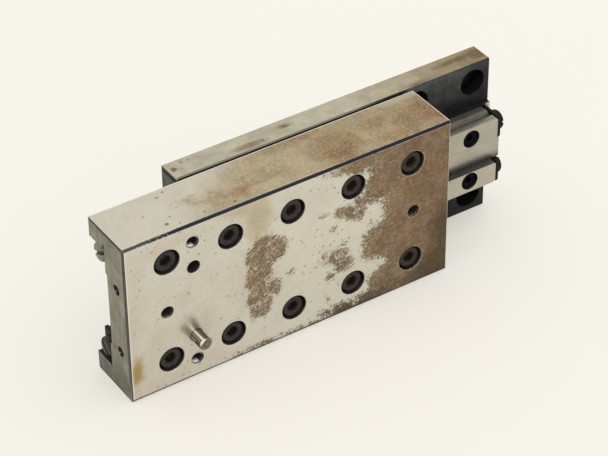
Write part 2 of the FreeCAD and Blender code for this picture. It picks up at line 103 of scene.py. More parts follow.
# Scale, detail and roughness of the noises that several finishes share.
FINE_CLOUDS = (2.2, 4.0, 0.7)
BROAD_CLOUDS = (0.16, 5.0, 0.65)
# The values between which a noise mostly lies.
NOISE_RANGE = (0.2, 0.8)
# A surface looks one way from the first cosine on, and wholly from the second.
LEANING, SQUARE = 0.85, 0.97

# Head height, shank and socket depth of the cap screws in millimetres, and a seed for each row.
CAP_SCREWS = {"table": (5.0, 5.0, 2.8), "base": (2.8, 4.0, 1.7)}
CAP_SCREW_SEEDS = {"table": (3, 4), "base": (11, 12)}
ROW_COUNT = 5
KNURL_RIDGES = 24
PRELOAD_KEY_DEPTH = 2.2 * MM
PRELOAD_SEED = 21
STOP_SHANK = 3.0 * MM
SLOT_EDGE = 0.08 * MM
INNER_SLOT_TURN, OUTER_SLOT_TURN, SLOT_SPREAD = (math.radians(turn) for turn in (40, 42, 75))
# How far below the surface a thread starts, how deep it goes and how far it lies in the wall.
FACE_THREAD_INSET, FACE_THREAD_DEPTH = 0.55 * MM, 9.0 * MM
END_THREAD_INSET, END_THREAD_DEPTH = 0.7 * MM, 7.0 * MM
THREAD_CLEARANCE = 0.02 * MM
ROLLER_DIAMETER = 4.0 * MM
FLOOR_GAP = 0.05 * MM
MERGE_DISTANCE = 1e-6
PIN_SEGMENTS, ROLLER_SEGMENTS, FLOOR_SEGMENTS = 72, 40, 96
# The camera's sensor in millimetres; in metres, how near it sees and each lamp's width and place.
SENSOR_WIDTH = 36.0
CLIP_START = 0.01
LAMPS = {"key": (1.6, (0.2, -0.9, 1.5)), "fill": (1.2, (1.1, 0.1, 1.2))}
ROOM_COLOUR = (1.0, 0.99, 0.97)

GRINDING_LAY = math.radians(30)
FLAT_LIMIT = math.radians(0.6)
SMOOTH_LIMIT = math.radians(32)
EDGE_LIMIT = math.radians(33)
SLOT_LIMIT = math.radians(40)
TURN_TO_FRONT = Matrix.Rotation(math.radians(90), 4, "X")
TURN_TO_RIGHT = Matrix.Rotation(math.radians(90), 4, "Y")
TURN_TO_FLOOR = Matrix.Rotation(math.radians(180), 4, "X")

# Marks on the table's face, in millimetres from its middle: along, up, half length, half height.
FACE_PATCHES = (
    (-11.4, 8.8, 8.6, 6.8), (-14.4, 0.0, 5.8, 8.0), (-14.0, -11.0, 5.4, 8.2),
    (-8.6, -8.0, 3.2, 3.8), (21.6, 12.2, 4.4, 2.6), (25.8, 10.2, 4.8, 3.4),
    (29.6, 14.4, 4.2, 3.0), (18.6, -6.4, 4.2, 3.2), (21.0, -10.6, 3.8, 3.2),
    (23.4, -13.0, 1.8, 1.1), (13.0, -4.0, 1.2, 1.1), (12.6, -7.4, 1.4, 0.6),
    (15.4, -14.4, 1.4, 1.4), (14.4, -24.0, 0.8, 1.0), (-1.2, -4.0, 1.4, 0.9),
    (17.4, 6.8, 1.3, 1.0), (22.0, -1.8, 1.4, 0.5), (12.6, 13.8, 1.0, 0.6),
    (33.0, 2.4, 0.9, 0.7), (-14.0, -31.6, 8.0, 1.0), (6.0, -32.0, 6.0, 1.2),
)
FACE_RUST = (
    (69.0, 3.0, 31.5, 62.0), (40.0, 18.6, 10.0, 9.8), (31.0, 32.4, 16.0, 6.2),
    (44.0, 30.0, 16.0, 8.0), (38.0, -7.6, 9.4, 8.0), (41.0, -3.0, 7.0, 6.6),
    (41.0, -24.4, 9.2, 7.4), (36.0, -32.0, 16.0, 5.0), (20.0, -31.6, 11.0, 3.2),
)
FACE_DARK = (
    (66.0, -32.0, 18.0, 13.0), (66.0, -14.0, 7.0, 14.0), (27.0, -32.0, 24.0, 4.6),
)
FACE_OCHRE = (
    (-64.7, -21.0, 2.9, 6.2),
)
FACE_FILM = (
    (-14.0, 25.0, 6.0, 11.0), (-20.0, 31.0, 9.0, 3.0),
)
FACE_PINK = (
    (-64.4, 4.0, 4.4, 24.0), (-44.0, 3.0, 5.0, 4.0), (-56.0, -10.0, 5.0, 8.0),
    (-40.0, -10.0, 9.0, 7.0), (-55.0, 28.0, 12.0, 3.0), (-58.0, -29.0, 14.0, 4.0),
    (-38.0, -27.0, 10.0, 4.0), (-15.0, 0.0, 9.5, 19.0),
)
# Marks on the table's upper edge: along from its middle, forward of its back edge.
TOP_STAINS = (
    (-35.4, 11.4, 5.0, 3.0), (-27.0, 13.4, 5.4, 2.4), (-25.0, 18.0, 5.0, 2.2),
    (-16.6, 16.6, 4.0, 3.2), (-7.0, 13.0, 9.0, 3.6),
)
TOP_BROWN = (
    (14.0, 1.6, 16.0, 3.6), (25.0, 14.0, 11.0, 12.0), (49.0, 19.4, 15.0, 6.0),
    (59.0, 13.0, 13.0, 9.0), (44.0, 9.0, 9.0, 5.0),
)
TOP_RED = (
    (65.0, 13.0, 5.4, 9.0), (25.0, 17.6, 4.4, 4.4), (-16.6, 16.8, 2.8, 2.2),
    (17.0, 2.0, 5.0, 1.6),
)
TOP_SPOTS = (
    (-39.5, 2.3, 0.8, 0.6), (-42.8, 4.0, 0.9, 0.6), (-44.5, 15.6, 0.7, 0.5),
    (-52.0, 10.8, 0.7, 0.5), (-47.5, 18.7, 1.0, 0.9), (-21.6, 20.6, 1.1, 0.7),
    (-33.3, 19.8, 0.6, 0.6), (-43.4, 20.6, 0.6, 0.5),
)
# Marks on the base's upper edge: along from its middle, forward of its mounting face.
BASE_STAINS = (
    (-36.0, 7.3, 7.0, 1.8), (-19.6, 4.0, 2.6, 1.4),
)
BASE_SPOTS = (
    (-65.2, 4.9, 1.5, 1.1), (-62.6, 6.1, 0.8, 0.5), (-60.5, 2.5, 0.7, 0.5),
    (-57.9, 2.3, 1.0, 0.5), (-30.2, 7.7, 0.9, 0.5), (-18.4, 4.6, 1.0, 0.6),
)
BASE_STREAKS = (
    (56.0, 4.1, 11.0, 1.5), (65.0, 5.0, 4.4, 3.4), (35.0, 8.8, 6.0, 1.1),
)

# Painted reflection on the bright pin: its own tone, and bands standing in for what it mirrors:
# angle from +X towards +Z and half width in degrees, and strength.
PIN_SHADE = 0.75
PIN_REFLECTION_BANDS = (
    (114.0, 15.0, 3.6), (138.0, 8.0, 0.9), (172.0, 26.0, 0.45),
    (75.0, 30.0, -0.45), (150.0, 9.0, -0.35), (208.0, 20.0, -0.4),
)


def length(name, description, millimetres):
    """A length property, given in millimetres and kept in metres."""
    return FloatProperty(
        name=name, description=description, default=millimetres * MM,
        soft_min=0.0, unit="LENGTH", precision=5,
    )


def tint(name, description, colour):
    """A colour property in scene-linear values."""
    return FloatVectorProperty(
        name=name, description=description, default=colour,
        size=3, min=0.0, max=1.0, subtype="COLOR",
    )


def angle(name, description, degrees):
    """An angle property, given in degrees and kept in radians."""
    return FloatProperty(
        name=name, description=description, default=math.radians(degrees), subtype="ANGLE")


def amount(name, description, default, low=0.0, **kind):
    """A plain number property with a least value."""
    return FloatProperty(name=name, description=description, default=default, min=low, **kind)


class SlideSizes(bpy.types.PropertyGroup):
    """Sizes of the fine detail that the construction leaves to the looks."""

    edge_break: length("Edge break", "Width of the worn bevel along machined edges", 0.11)
    rail_edge: length("Rail edge", "Width of the bevel along the rails", 0.09)
    plate_edge: length("Plate edge", "Width of the bevel round the stop plates and cages", 0.07)
    head_round: length("Head rounding", "Rounding of a cap screw's head", 0.6)
    knurl_depth: length("Knurl depth", "Depth of the knurl on a cap screw's head", 0.07)
    socket_mouth: length("Socket mouth", "Chamfer where a key enters its socket", 0.42)
    thread_pitch: length("Thread pitch", "Pitch of the screws and tapped holes", 0.8)
    thread_rise: length("Thread rise", "Height of a thread's ridge", 0.36)
    table_key: length("Table screw key", "Width across the flats of a table screw's socket", 4.0)
    base_key: length("Base screw key", "Width across the flats of a base screw's socket", 2.5)
    preload_key: length("Preload key", "Width across the flats of a preload screw's socket", 2.0)
    slot_width: length("Slot width", "Width of the slot in a stop screw", 1.5)
    slot_depth: length("Slot depth", "Depth of the slot in a stop screw", 1.3)
    pin_chamfer: length("Pin chamfer", "Chamfer at the dowel pin's tip", 0.5)
    roller_edge: length("Roller edge", "Rounding at the ends of a roller", 0.25)


class SlideColours(bpy.types.PropertyGroup):
    """Colours of the finishes, in scene-linear values."""

    ground_steel: tint("Ground steel", "Clean ground faces of the table", (0.672, 0.648, 0.555))
    dull_steel: tint("Dull steel", "Handled ground steel", (0.585, 0.540, 0.452))
    pink_steel: tint("Pink steel", "Handled steel with a flush of rust", (0.590, 0.495, 0.415))
    end_steel: tint("End steel", "Milled ends of the table", (0.248, 0.234, 0.174))
    glint: tint("Glint", "Thread crests that catch the light", (0.95, 0.93, 0.88))
    # Also the painted highlight on the pin's chamfer.
    worn_edge: tint("Worn edge", "Edges rubbed bright", (0.84, 0.80, 0.71))
    light_rust: tint("Light rust", "Thin flakes of rust", (0.372, 0.270, 0.162))
    brown_rust: tint("Brown rust", "Rust bloom", (0.136, 0.094, 0.054))
    deep_rust: tint("Deep rust", "Heavier rust", (0.140, 0.078, 0.033))
    dark_rust: tint("Dark rust", "The oldest rust", (0.048, 0.026, 0.01))
    brown_film: tint("Brown film", "Soft stain on upper edges", (0.236, 0.146, 0.050))
    red_film: tint("Red film", "Reddish stain on upper edges", (0.222, 0.112, 0.038))
    dark_film: tint("Dark film", "Dried oil on the base's upper edge", (0.115, 0.080, 0.030))
    tan_film: tint("Tan film", "Thin stain on upper edges", (0.354, 0.271, 0.135))
    dusty_rust: tint("Dusty rust", "Paler rust with a flush of red", (0.245, 0.165, 0.118))
    ochre: tint("Ochre stain", "Dried oil", (0.375, 0.255, 0.078))
    # Also painted shade along the table's lower edges.
    blued_edge: tint("Blued edge", "Dark chamfer over the table's face", (0.046, 0.066, 0.076))
    purple_edge: tint("Purple edge", "Heat tint along the chamfer", (0.046, 0.043, 0.058))
    oxide: tint("Oxide", "Dark front of the base plate", (0.0114, 0.0116, 0.0120))
    edge_steel: tint("Edge steel", "Upper edge of the base plate", (0.535, 0.500, 0.368))
    end_oxide: tint("End oxide", "Left end of the base plate", (0.090, 0.096, 0.072))
    rail_steel: tint("Rail steel", "Ground faces of the rails", (0.405, 0.388, 0.310))
    rail_dark: tint("Dark rail", "Unground backs of the rails", (0.06, 0.058, 0.052))
    black_oxide: tint("Black oxide", "Cap screws", (0.030, 0.0270, 0.0258))
    warm_oxide: tint("Warm oxide", "Cap screws among the rust", (0.036, 0.0265, 0.021))
    # Painted shade in the table's holes.
    bore_black: tint("Bore black", "Holes in the table", (0.0150, 0.0090, 0.0105))
    # Painted shade on the base's front behind the table's back edge.
    seam_black: tint("Seam black", "Old oil on the base behind the table", (0.014, 0.012, 0.006))
    # A painted bluish reflection on the base's front.
    teal_oxide: tint("Teal oxide", "Bluish oxide on the base's front", (0.053, 0.060, 0.055))
    # Painted shade in holes, slots and the table's channel.
    deep_black: tint("Deep black", "Sunk screws and holes", (0.0055, 0.0040, 0.0040))
    # Painted shade: the screws deep in the rails are drawn near black.
    sunk_black: tint("Sunk black", "Screws deep in the rails", (0.0044, 0.0053, 0.0076))
    plate_dark: tint("Dark plate", "Stop plates", (0.006, 0.0085, 0.005))
    zinc: tint("Dull zinc", "Slotted screws of the outer stops", (0.215, 0.205, 0.150))
    pin_steel: tint("Pin steel", "Dowel pin", (0.284, 0.258, 0.214))
    roller_steel: tint("Roller steel", "Lapped rollers", (0.62, 0.62, 0.60))
    brass: tint("Brass", "Roller cages", (0.42, 0.30, 0.12))
    # Also painted shade on the base's ridge and along the table's lower edges.
    dirt: tint("Dirt", "Old oil and dust in corners", (0.050, 0.042, 0.033))


class SlideStage(bpy.types.PropertyGroup):
    """Camera, floor and light."""

    lens: amount("Lens", "Focal length on a 36 mm sensor", 141.56, low=1.0, unit="CAMERA")
    camera_place: FloatVectorProperty(
        name="Camera", description="Where the camera stands", size=3, subtype="TRANSLATION",
        default=(-0.393559, -0.589535, 0.518303),
    )
    azimuth: angle("Azimuth", "Turn of the camera about the upright", -33.155)
    elevation: angle("Elevation", "How far the camera looks down", 37.351)
    roll: angle("Roll", "Turn of the camera about its own axis", -0.57942)
    floor_radius: amount("Floor radius", "Radius of the floor", 4.0, low=0.1, unit="LENGTH")
    floor_colour: tint("Floor", "Pale floor", (0.915, 0.893, 0.838))
    floor_seen: tint("Floor light", "Colour of the floor's own light", (0.93, 0.905, 0.83))
    floor_glow: amount(
        "Floor glow", "Share of the seen floor that is its own light", 0.5, max=1.0,
        subtype="FACTOR")
    ambient: amount("Ambient", "Strength of the soft light from all round", 0.93)
    key_power: amount("Key light", "Power of the lamp over the front", 4.0, unit="POWER")
    fill_power: amount("Fill light", "Power of the lamp over the right", 1.6, unit="POWER")


# Node wiring.

VECTOR, FLOAT, COUNT, MATERIAL, GEOMETRY = (
    f"NodeSocket{kind}" for kind in ("Vector", "Float", "Int", "Material", "Geometry"))
SEEN_RAYS = ("Is Camera Ray", "Is Glossy Ray", "Is Transmission Ray")


def once(build):
    """The node tree that a function builds, built the first time that a file asks for it."""
    name = build.__name__.replace("_", " ").capitalize()
    tree = bpy.data.node_groups.get(name)
    if tree is None:
        tree = build()
        tree.name = name
    return tree


def math_step(operation):
    """A method that takes a value and others through a math node."""
    return lambda value, *others: value.wiring.math(operation, value, *others)


class Value:
    """What a node puts out; arithmetic on it adds nodes.

    a | b is the larger of two values, a & b the smaller, and ~a what a mask leaves free.
    """

    def __init__(self, wiring, socket):
        self.wiring = wiring
        self.socket = socket

    __mul__ = math_step("MULTIPLY")
    __add__ = math_step("ADD")
    __sub__ = math_step("SUBTRACT")
    __or__ = math_step("MAXIMUM")
    __and__ = math_step("MINIMUM")
    __abs__ = math_step("ABSOLUTE")

    def __rsub__(self, other):
        return self.wiring.math("SUBTRACT", other, self)

    def __invert__(self):
        return 1.0 - self

    def span(self, low, high, start=0.0, end=1.0):
        """A smooth step from start, at low and below, to end, at high and above."""
        node = self.wiring.add("ShaderNodeMapRange", {
            "Value": self, "From Min": low, "From Max": high, "To Min": start, "To Max": end},
            interpolation_type="SMOOTHSTEP")
        return Value(self.wiring, node.outputs["Result"])

    def fade(self, start, end):
        """A smooth step from start, where a mask is none, to end, where it is one."""
        return self.span(0.0, 1.0, start, end)


class Wiring:
    """Adds nodes to a tree and feeds their inputs from plain values or from other nodes."""

    def __init__(self, tree):
        self.tree = tree

    def add(self, kind, inputs=None, **settings):
        node = self.tree.nodes.new(kind)
        for name, value in settings.items():
            setattr(node, name, value)
        for key, value in (inputs or {}).items():
            self.feed(node.inputs[key], value)
        return node

    def feed(self, socket, value):
        if isinstance(value, Value):
            value = value.socket
        if isinstance(value, bpy.types.NodeSocket):
            self.tree.links.new(value, socket)
        elif socket.type == "RGBA" and len(value) == 3:
            socket.default_value = (*value, 1.0)
        else:
            socket.default_value = value

    def put_out(self, **values):
        """Feeds what a group puts out."""
        for name, value in values.items():
            self.feed(self.end[name], value)

    def math(self, operation, *values):
        node = self.add("ShaderNodeMath", operation=operation)
        for socket, value in zip(node.inputs, values):
            self.feed(socket, value)
        return Value(self, node.outputs[0])

    def vector(self, operation, *values):
        node = self.add("ShaderNodeVectorMath", dict(enumerate(values)), operation=operation)
        return Value(self, node.outputs["Value" if operation == "LENGTH" else "Vector"])

    def split(self, vector):
        node = self.add("ShaderNodeSeparateXYZ", {0: vector})
        return [Value(self, part) for part in node.outputs]

    def joined(self, x, y, z):
        return Value(self, self.add("ShaderNodeCombineXYZ", {0: x, 1: y, 2: z}).outputs[0])

    def mixed(self, share, first, second, blend="MIX"):
        node = self.add("ShaderNodeMix", data_type="RGBA", blend_type=blend)
        for index, value in ((0, share), (6, first), (7, second)):
            self.feed(node.inputs[index], value)
        return Value(self, node.outputs[2])

    def noise(self, place, scale, detail=4.0, roughness=0.55):
        node = self.add("ShaderNodeTexNoise", {
            "Vector": place, "Scale": scale, "Detail": detail, "Roughness": roughness})
        return Value(self, node.outputs[0])

    def laid(self, flat, long, short):
        """Flat coordinates turned and stretched along the way the grinding lies."""
        node = self.add("ShaderNodeMapping", {
            "Vector": flat, "Rotation": (0.0, 0.0, GRINDING_LAY), "Scale": (long, short, 1.0)},
            vector_type="TEXTURE")
        return Value(self, node.outputs[0])

    def seen(self):
        """One where the camera or a mirror sees the light, and none where it only lights."""
        path = self.add("ShaderNodeLightPath").outputs
        camera, glossy, through = (Value(self, path[ray]) for ray in SEEN_RAYS)
        return camera | glossy | through

    def group(self, build, **inputs):
        """Places a shared group and gives what it puts out, by name."""
        node = self.add("ShaderNodeGroup", node_tree=once(build))
        for name, value in inputs.items():
            self.feed(node.inputs[name], value)
        return {output.name: Value(self, output) for output in node.outputs}


def new_group(inputs, outputs, kind="ShaderNodeTree"):
    """An empty node group with the named sockets; gives its wiring and what goes in."""
    tree = bpy.data.node_groups.new(kind, kind)
    for way, sockets in (("INPUT", inputs), ("OUTPUT", outputs)):
        for socket, socket_type in sockets.items():
            tree.interface.new_socket(name=socket, in_out=way, socket_type=socket_type)
    wiring = Wiring(tree)
    start = wiring.add("NodeGroupInput").outputs
    wiring.end = wiring.add("NodeGroupOutput").inputs
    return wiring, {socket: Value(wiring, start[socket]) for socket in inputs}


def facing_group():
    """Where a point lies, in millimetres, and which way its surface looks."""
    wiring, _ = new_group({}, {
        "Place": VECTOR, "Flat": VECTOR, "Looks": VECTOR, "Front": FLOAT, "Back": FLOAT,
        "Top": FLOAT, "Under": FLOAT, "Ends": FLOAT})
    texture = wiring.add("ShaderNodeTexCoord").outputs
    place = wiring.vector("MULTIPLY", texture["Object"], (1.0 / MM, 1.0 / MM, 1.0 / MM))
    x, y, z = wiring.split(place)
    look_x, look_y, look_z = wiring.split(texture["Normal"])
    wiring.put_out(
        Place=place, Flat=wiring.joined(y * 0.7 + x, y + z, 0.0), Looks=texture["Normal"],
        Front=look_y.span(-LEANING, -SQUARE), Back=look_y.span(LEANING, SQUARE),
        Top=look_z.span(LEANING, SQUARE), Under=look_z.span(-LEANING, -SQUARE),
        Ends=abs(look_x).span(LEANING, SQUARE))
    return wiring.tree


def blot_group():
    """How far, in millimetres, a point lies inside a round mark."""
    wiring, start = new_group(
        {"Place": VECTOR, "Centre": VECTOR, "Reach": VECTOR, "Size": FLOAT}, {"Depth": FLOAT})
    offset = wiring.vector("SUBTRACT", start["Place"], start["Centre"])
    share = wiring.vector("LENGTH", wiring.vector("DIVIDE", offset, start["Reach"]))
    wiring.put_out(Depth=~share * start["Size"])
    return wiring.tree


def bloom_group():
    """Ragged cover around marks, broken into flakes that lie along the grinding."""
    wiring, start = new_group(
        {"Place": VECTOR, "Flat": VECTOR, "Depth": FLOAT, "Ragged": FLOAT, "Flake": FLOAT},
        {"Cover": FLOAT, "Fleck": FLOAT})
    broad = wiring.noise(start["Place"], 0.24, 5.0, 0.6) - 0.5
    lay = wiring.laid(start["Flat"], 1.15, 0.74)
    flake = wiring.noise(lay, 1.0, 6.0, 0.74) - 0.5
    depth = broad * start["Ragged"] + start["Depth"] + flake * start["Flake"]
    other = wiring.vector("ADD", lay, (13.0, 7.0, 5.0))
    wiring.put_out(Cover=depth.span(-0.3, 0.7), Fleck=wiring.noise(other, 0.9, 5.0, 0.72))
    return wiring.tree


def wash_group():
    """Soft cover of a stain, uneven inside."""
    wiring, start = new_group(
        {"Place": VECTOR, "Depth": FLOAT, "Soft": FLOAT}, {"Cover": FLOAT})
    soft = start["Soft"]
    uneven = wiring.noise(start["Place"], 0.24, 6.0, 0.62) - 0.5
    depth = uneven * (soft * 2.0) + start["Depth"]
    wiring.put_out(Cover=depth.span(soft * -0.6, soft))
    return wiring.tree


def grain_group():
    """Arcs left by a grinding wheel, as shade and as height."""
    wiring, start = new_group(
        {"Flat": VECTOR, "Centre": VECTOR, "Fine": FLOAT}, {"Shade": FLOAT, "Height": FLOAT})
    offset = wiring.vector("SUBTRACT", start["Flat"], start["Centre"])
    radius = wiring.vector("LENGTH", offset)
    x, y, _ = wiring.split(offset)
    arc = wiring.math("ARCTAN2", y, x) * 30.0
    lines = wiring.joined(radius * start["Fine"], arc, 0.0)
    broad = wiring.joined(radius * 0.9, arc * 0.6, 7.0)
    wiring.put_out(
        Shade=wiring.noise(broad, 1.0, 6.0, 0.7), Height=wiring.noise(lines, 1.0, 4.0, 0.7))
    return wiring.tree


def speck_group():
    """Small scattered specks, drawn out along the grinding."""
    wiring, start = new_group({"Flat": VECTOR, "Amount": FLOAT}, {"Mask": FLOAT})
    lay = wiring.laid(start["Flat"], 2.3, 1.15)
    wander = wiring.add("ShaderNodeTexNoise", {"Vector": lay, "Scale": 1.7, "Detail": 2.0})
    bent = wiring.vector("MULTIPLY_ADD", wander.outputs["Color"], (0.35, 0.35, 0.0), lay)
    cells = wiring.add(
        "ShaderNodeTexVoronoi", {"Vector": bent, "Scale": 1.0}, voronoi_dimensions="2D").outputs
    reach = wiring.split(cells["Color"])[0].span(~start["Amount"], 1.0, 0.0, 0.30)
    edge = reach - cells["Distance"]
    wiring.put_out(Mask=edge.span(0.0, 0.14))
    return wiring.tree


class Finish(Wiring):
    """A material with a Principled shader, which knows where a point lies and how it looks."""

    def __init__(self, name, **plain):
        self.material = bpy.data.materials.new(name)
        self.material.use_nodes = True
        super().__init__(self.material.node_tree)
        self.shader = self.tree.nodes["Principled BSDF"]
        self.set(**plain)
        for side, value in self.group(facing_group).items():
            setattr(self, side.lower(), value)
        self.x, self.y, self.z = self.split(self.place)

    def set(self, **values):
        """Feeds the shader's inputs, with underlines for the spaces in their names."""
        for name, value in values.items():
            self.feed(self.shader.inputs[name.replace("_", " ")], value)

    def bump(self, height, distance):
        node = self.add("ShaderNodeBump", {
            "Height": height, "Distance": distance * MM, "Strength": 1.0})
        self.set(Normal=node.outputs[0])

    def tinted(self, colour, factor):
        """The colour made lighter or darker by a factor."""
        return self.mixed(1.0, colour, self.joined(factor, factor, factor), "MULTIPLY")

    def varied(self, colour, noise, least, most, half=0.2):
        """The colour times a factor that follows a noise, within a half of its middle."""
        return self.tinted(colour, noise.span(0.5 - half, 0.5 + half, least, most))

    def clouds(self, scale, detail=4.0, roughness=0.55):
        """Noise over the surface."""
        return self.noise(self.place, scale, detail, roughness)

    def grain(self, centre, fine):
        """Grinding arcs about a centre."""
        return self.group(grain_group, Flat=self.flat, Centre=centre, Fine=fine)

    def specks(self, amount):
        """A mask of scattered specks."""
        return self.group(speck_group, Flat=self.flat, Amount=amount)["Mask"]

    def bloom(self, depth, ragged, flake):
        """Flaky cover by the depth inside marks."""
        return self.group(
            bloom_group, Place=self.place, Flat=self.flat, Depth=depth, Ragged=ragged, Flake=flake)

    def blots(self, marks, spot):
        """The depth inside the nearest of the marks; spot gives a mark's centre and reach."""
        nearest = None
        for mark in marks:
            centre, reach = spot(*mark)
            depth = self.group(
                blot_group, Place=self.place, Centre=centre, Reach=reach,
                Size=min(mark[2:]))["Depth"]
            nearest = depth if nearest is None else self.math("SMOOTH_MAX", nearest, depth, 1.0)
        return nearest

    def coated(self, colour, *coats):
        """The colour below coats of (mask, colour), the last on top."""
        for mask, coat in coats:
            colour = self.mixed(mask, colour, coat)
        return colour

    def wash(self, marks, spot, soft):
        """The cover of soft stains over the marks."""
        return self.group(
            wash_group, Place=self.place, Depth=self.blots(marks, spot), Soft=soft)["Cover"]

    def within(self, low, high):
        """A mask of what lies behind the outer skin of a box, in the box's length and height."""
        nearest = (self.x - low.x) & (high.x - self.x) & (self.z - low.z) & (high.z - self.z)
        return nearest.span(0.05, 0.3)

    def chamfer(self, axis, sign):
        """A mask of the chamfers between the front and the side that looks along an axis."""
        looks = self.split(self.looks)
        return looks[1].span(-0.5, -0.6) * looks[axis].span(0.5 * sign, 0.6 * sign)

    def upward(self):
        """How far a surface looks up and to the right, where the light comes from."""
        look_x, _, look_z = self.split(self.looks)
        return look_x * 0.6 + look_z


def face_spot(along, up, half_length, half_height):
    """Centre and reach of a mark on the table's working face."""
    return (MIDDLE.x + along, NEAR.y, MIDDLE.z + up), (half_length, FACE_MARK_DEPTH, half_height)


def top_spots(low, high):
    """A function that gives the centre and reach of a mark on a box's upper edge."""
    def spot(along, forward, half_length, half_depth):
        centre = ((low.x + high.x) / 2 + along, high.y - forward, high.z)
        return centre, (half_length, half_depth, TOP_MARK_DEPTH)

    return spot


table_top = top_spots(NEAR, FAR)
base_top = top_spots(BASE_NEAR, BASE_FAR)


def upper_film(finish, start, stop, lean=0.0):
    """Film on upper edges that thickens from start to stop along the slide, sooner at the front."""
    drift = finish.clouds(0.07, 6.0, 0.62) - 0.5
    reach = drift * FILM_WANDER + (finish.y * -lean + finish.x)
    flakes = finish.noise(finish.laid(finish.flat, 1.9, 0.8), 1.0, 4.0, 0.66)
    return reach.span(start, stop) * flakes.span(0.3, 0.7, 0.8, 1.1) * finish.top & 1.0


def stained_steel(finish, colours, fine, broad):
    """The table's steel below its rust, and how thick the film on its upper edge is."""
    mix, x, y = finish.mixed, finish.x, finish.y
    handled = x.span(MIDDLE.x - 20.2, MIDDLE.x - 21.2) * finish.front
    cloud = finish.clouds(0.06, 5.0, 0.6).span(0.4, 0.75, 0.0, 0.55)
    pink = finish.wash(FACE_PINK, face_spot, 4.0) * 0.5
    ochre = finish.wash(FACE_OCHRE, face_spot, 2.2) * 0.9
    oil_and_shade = finish.wash(FACE_FILM, face_spot, 4.0) * 0.46
    steel = finish.coated(
        colours.ground_steel, (handled * 0.25 + cloud, colours.dull_steel),
        (pink, colours.pink_steel), (ochre | oil_and_shade, colours.ochre))

    stains = finish.wash(TOP_STAINS, table_top, 3.0) * 0.6
    corner = y.span(FAR.y - 4.6, FAR.y - 0.6) * x.span(FAR.x - 26.0, FAR.x - 8.0)
    film = upper_film(finish, MIDDLE.x - 20.0, MIDDLE.x + 12.0, 1.1) | stains
    film = film * corner.fade(1.0, 0.55) | finish.top * 0.24
    brown = finish.wash(TOP_BROWN, table_top, 6.0) * 0.8
    brown = brown | upper_film(finish, FAR.x - 66.0, FAR.x - 12.0) * 0.4
    red = finish.wash(TOP_RED, table_top, 4.0) * 0.9
    stain = mix(red, mix(brown, colours.tan_film, colours.brown_film), colours.red_film)
    stain = finish.varied(stain, fine, 0.76, 1.24)
    stain = finish.varied(stain, broad, 0.86, 1.14, 0.15)
    film = film | red * 0.9
    thick = (brown | red) * 0.15 + 0.83
    steel = mix(film * thick, steel, stain)
    flaky = finish.bloom(finish.blots(TOP_STAINS, table_top) & 0.2, 6.0, 7.0)["Cover"]
    return mix(flaky * 0.36, steel, colours.brown_film), film


def face_rust(finish, colours, fine, broad):
    """The rust on the working face: its colour, its cover and its flecks."""
    mix, varied = finish.mixed, finish.varied
    patches = finish.blots(FACE_PATCHES, face_spot) & finish.z.span(-9.0, 3.0, 0.75, 1.25)
    field = finish.blots(FACE_RUST, face_spot) & 12.0
    bloom = finish.bloom(field, 9.0, 16.0)
    fleck = bloom["Fleck"]
    flaky = mix(fleck.span(0.38, 0.68), colours.brown_rust, colours.light_rust)
    dense = mix(fleck.span(0.4, 0.74, 0.04, 0.66), colours.deep_rust, colours.light_rust)
    flush = finish.clouds(0.09, 5.0, 0.6).span(0.46, 0.66, 0.0, 0.6)
    dense = mix(flush, dense, colours.dusty_rust)
    rust = mix(
        field.span(-1.0, 10.0), varied(flaky, fine, 0.75, 1.25), varied(dense, fine, 0.8, 1.2))
    rust = varied(rust, broad, 0.84, 1.14, 0.15)
    rust = mix(finish.wash(FACE_DARK, face_spot, 5.0) * 0.76, rust, colours.dark_rust)
    return rust, finish.bloom(patches, 6.0, 11.0)["Cover"] | bloom["Cover"], fleck


def table_ends(finish, colours, broad):
    """The colour of the table's milled ends, with a dark rim round the left one."""
    x, y, z = finish.x, finish.y, finish.z
    ends = finish.varied(colours.end_steel, broad, 0.74, 1.2)
    smear = finish.noise(finish.joined(0.0, y * 0.5, z * 0.08), 1.0)
    ends = finish.varied(ends, smear, 0.88, 1.1)
    # Painted shade: the ends grow darker towards the bottom.
    ends = finish.tinted(ends, z.span(NEAR.z, NEAR.z + 18.0, 0.64, 0.99))
    rim = y.span(NEAR.y + 1.7, NEAR.y + 1.1) | z.span(FAR.z - 1.5, FAR.z - 1.0)
    rim = rim | z.span(NEAR.z + 1.1, NEAR.z + 0.6) | y.span(FAR.y - 0.9, FAR.y - 0.5)
    return finish.mixed(rim * x.span(0.0, -1.0, 0.0, 0.9), ends, colours.purple_edge)


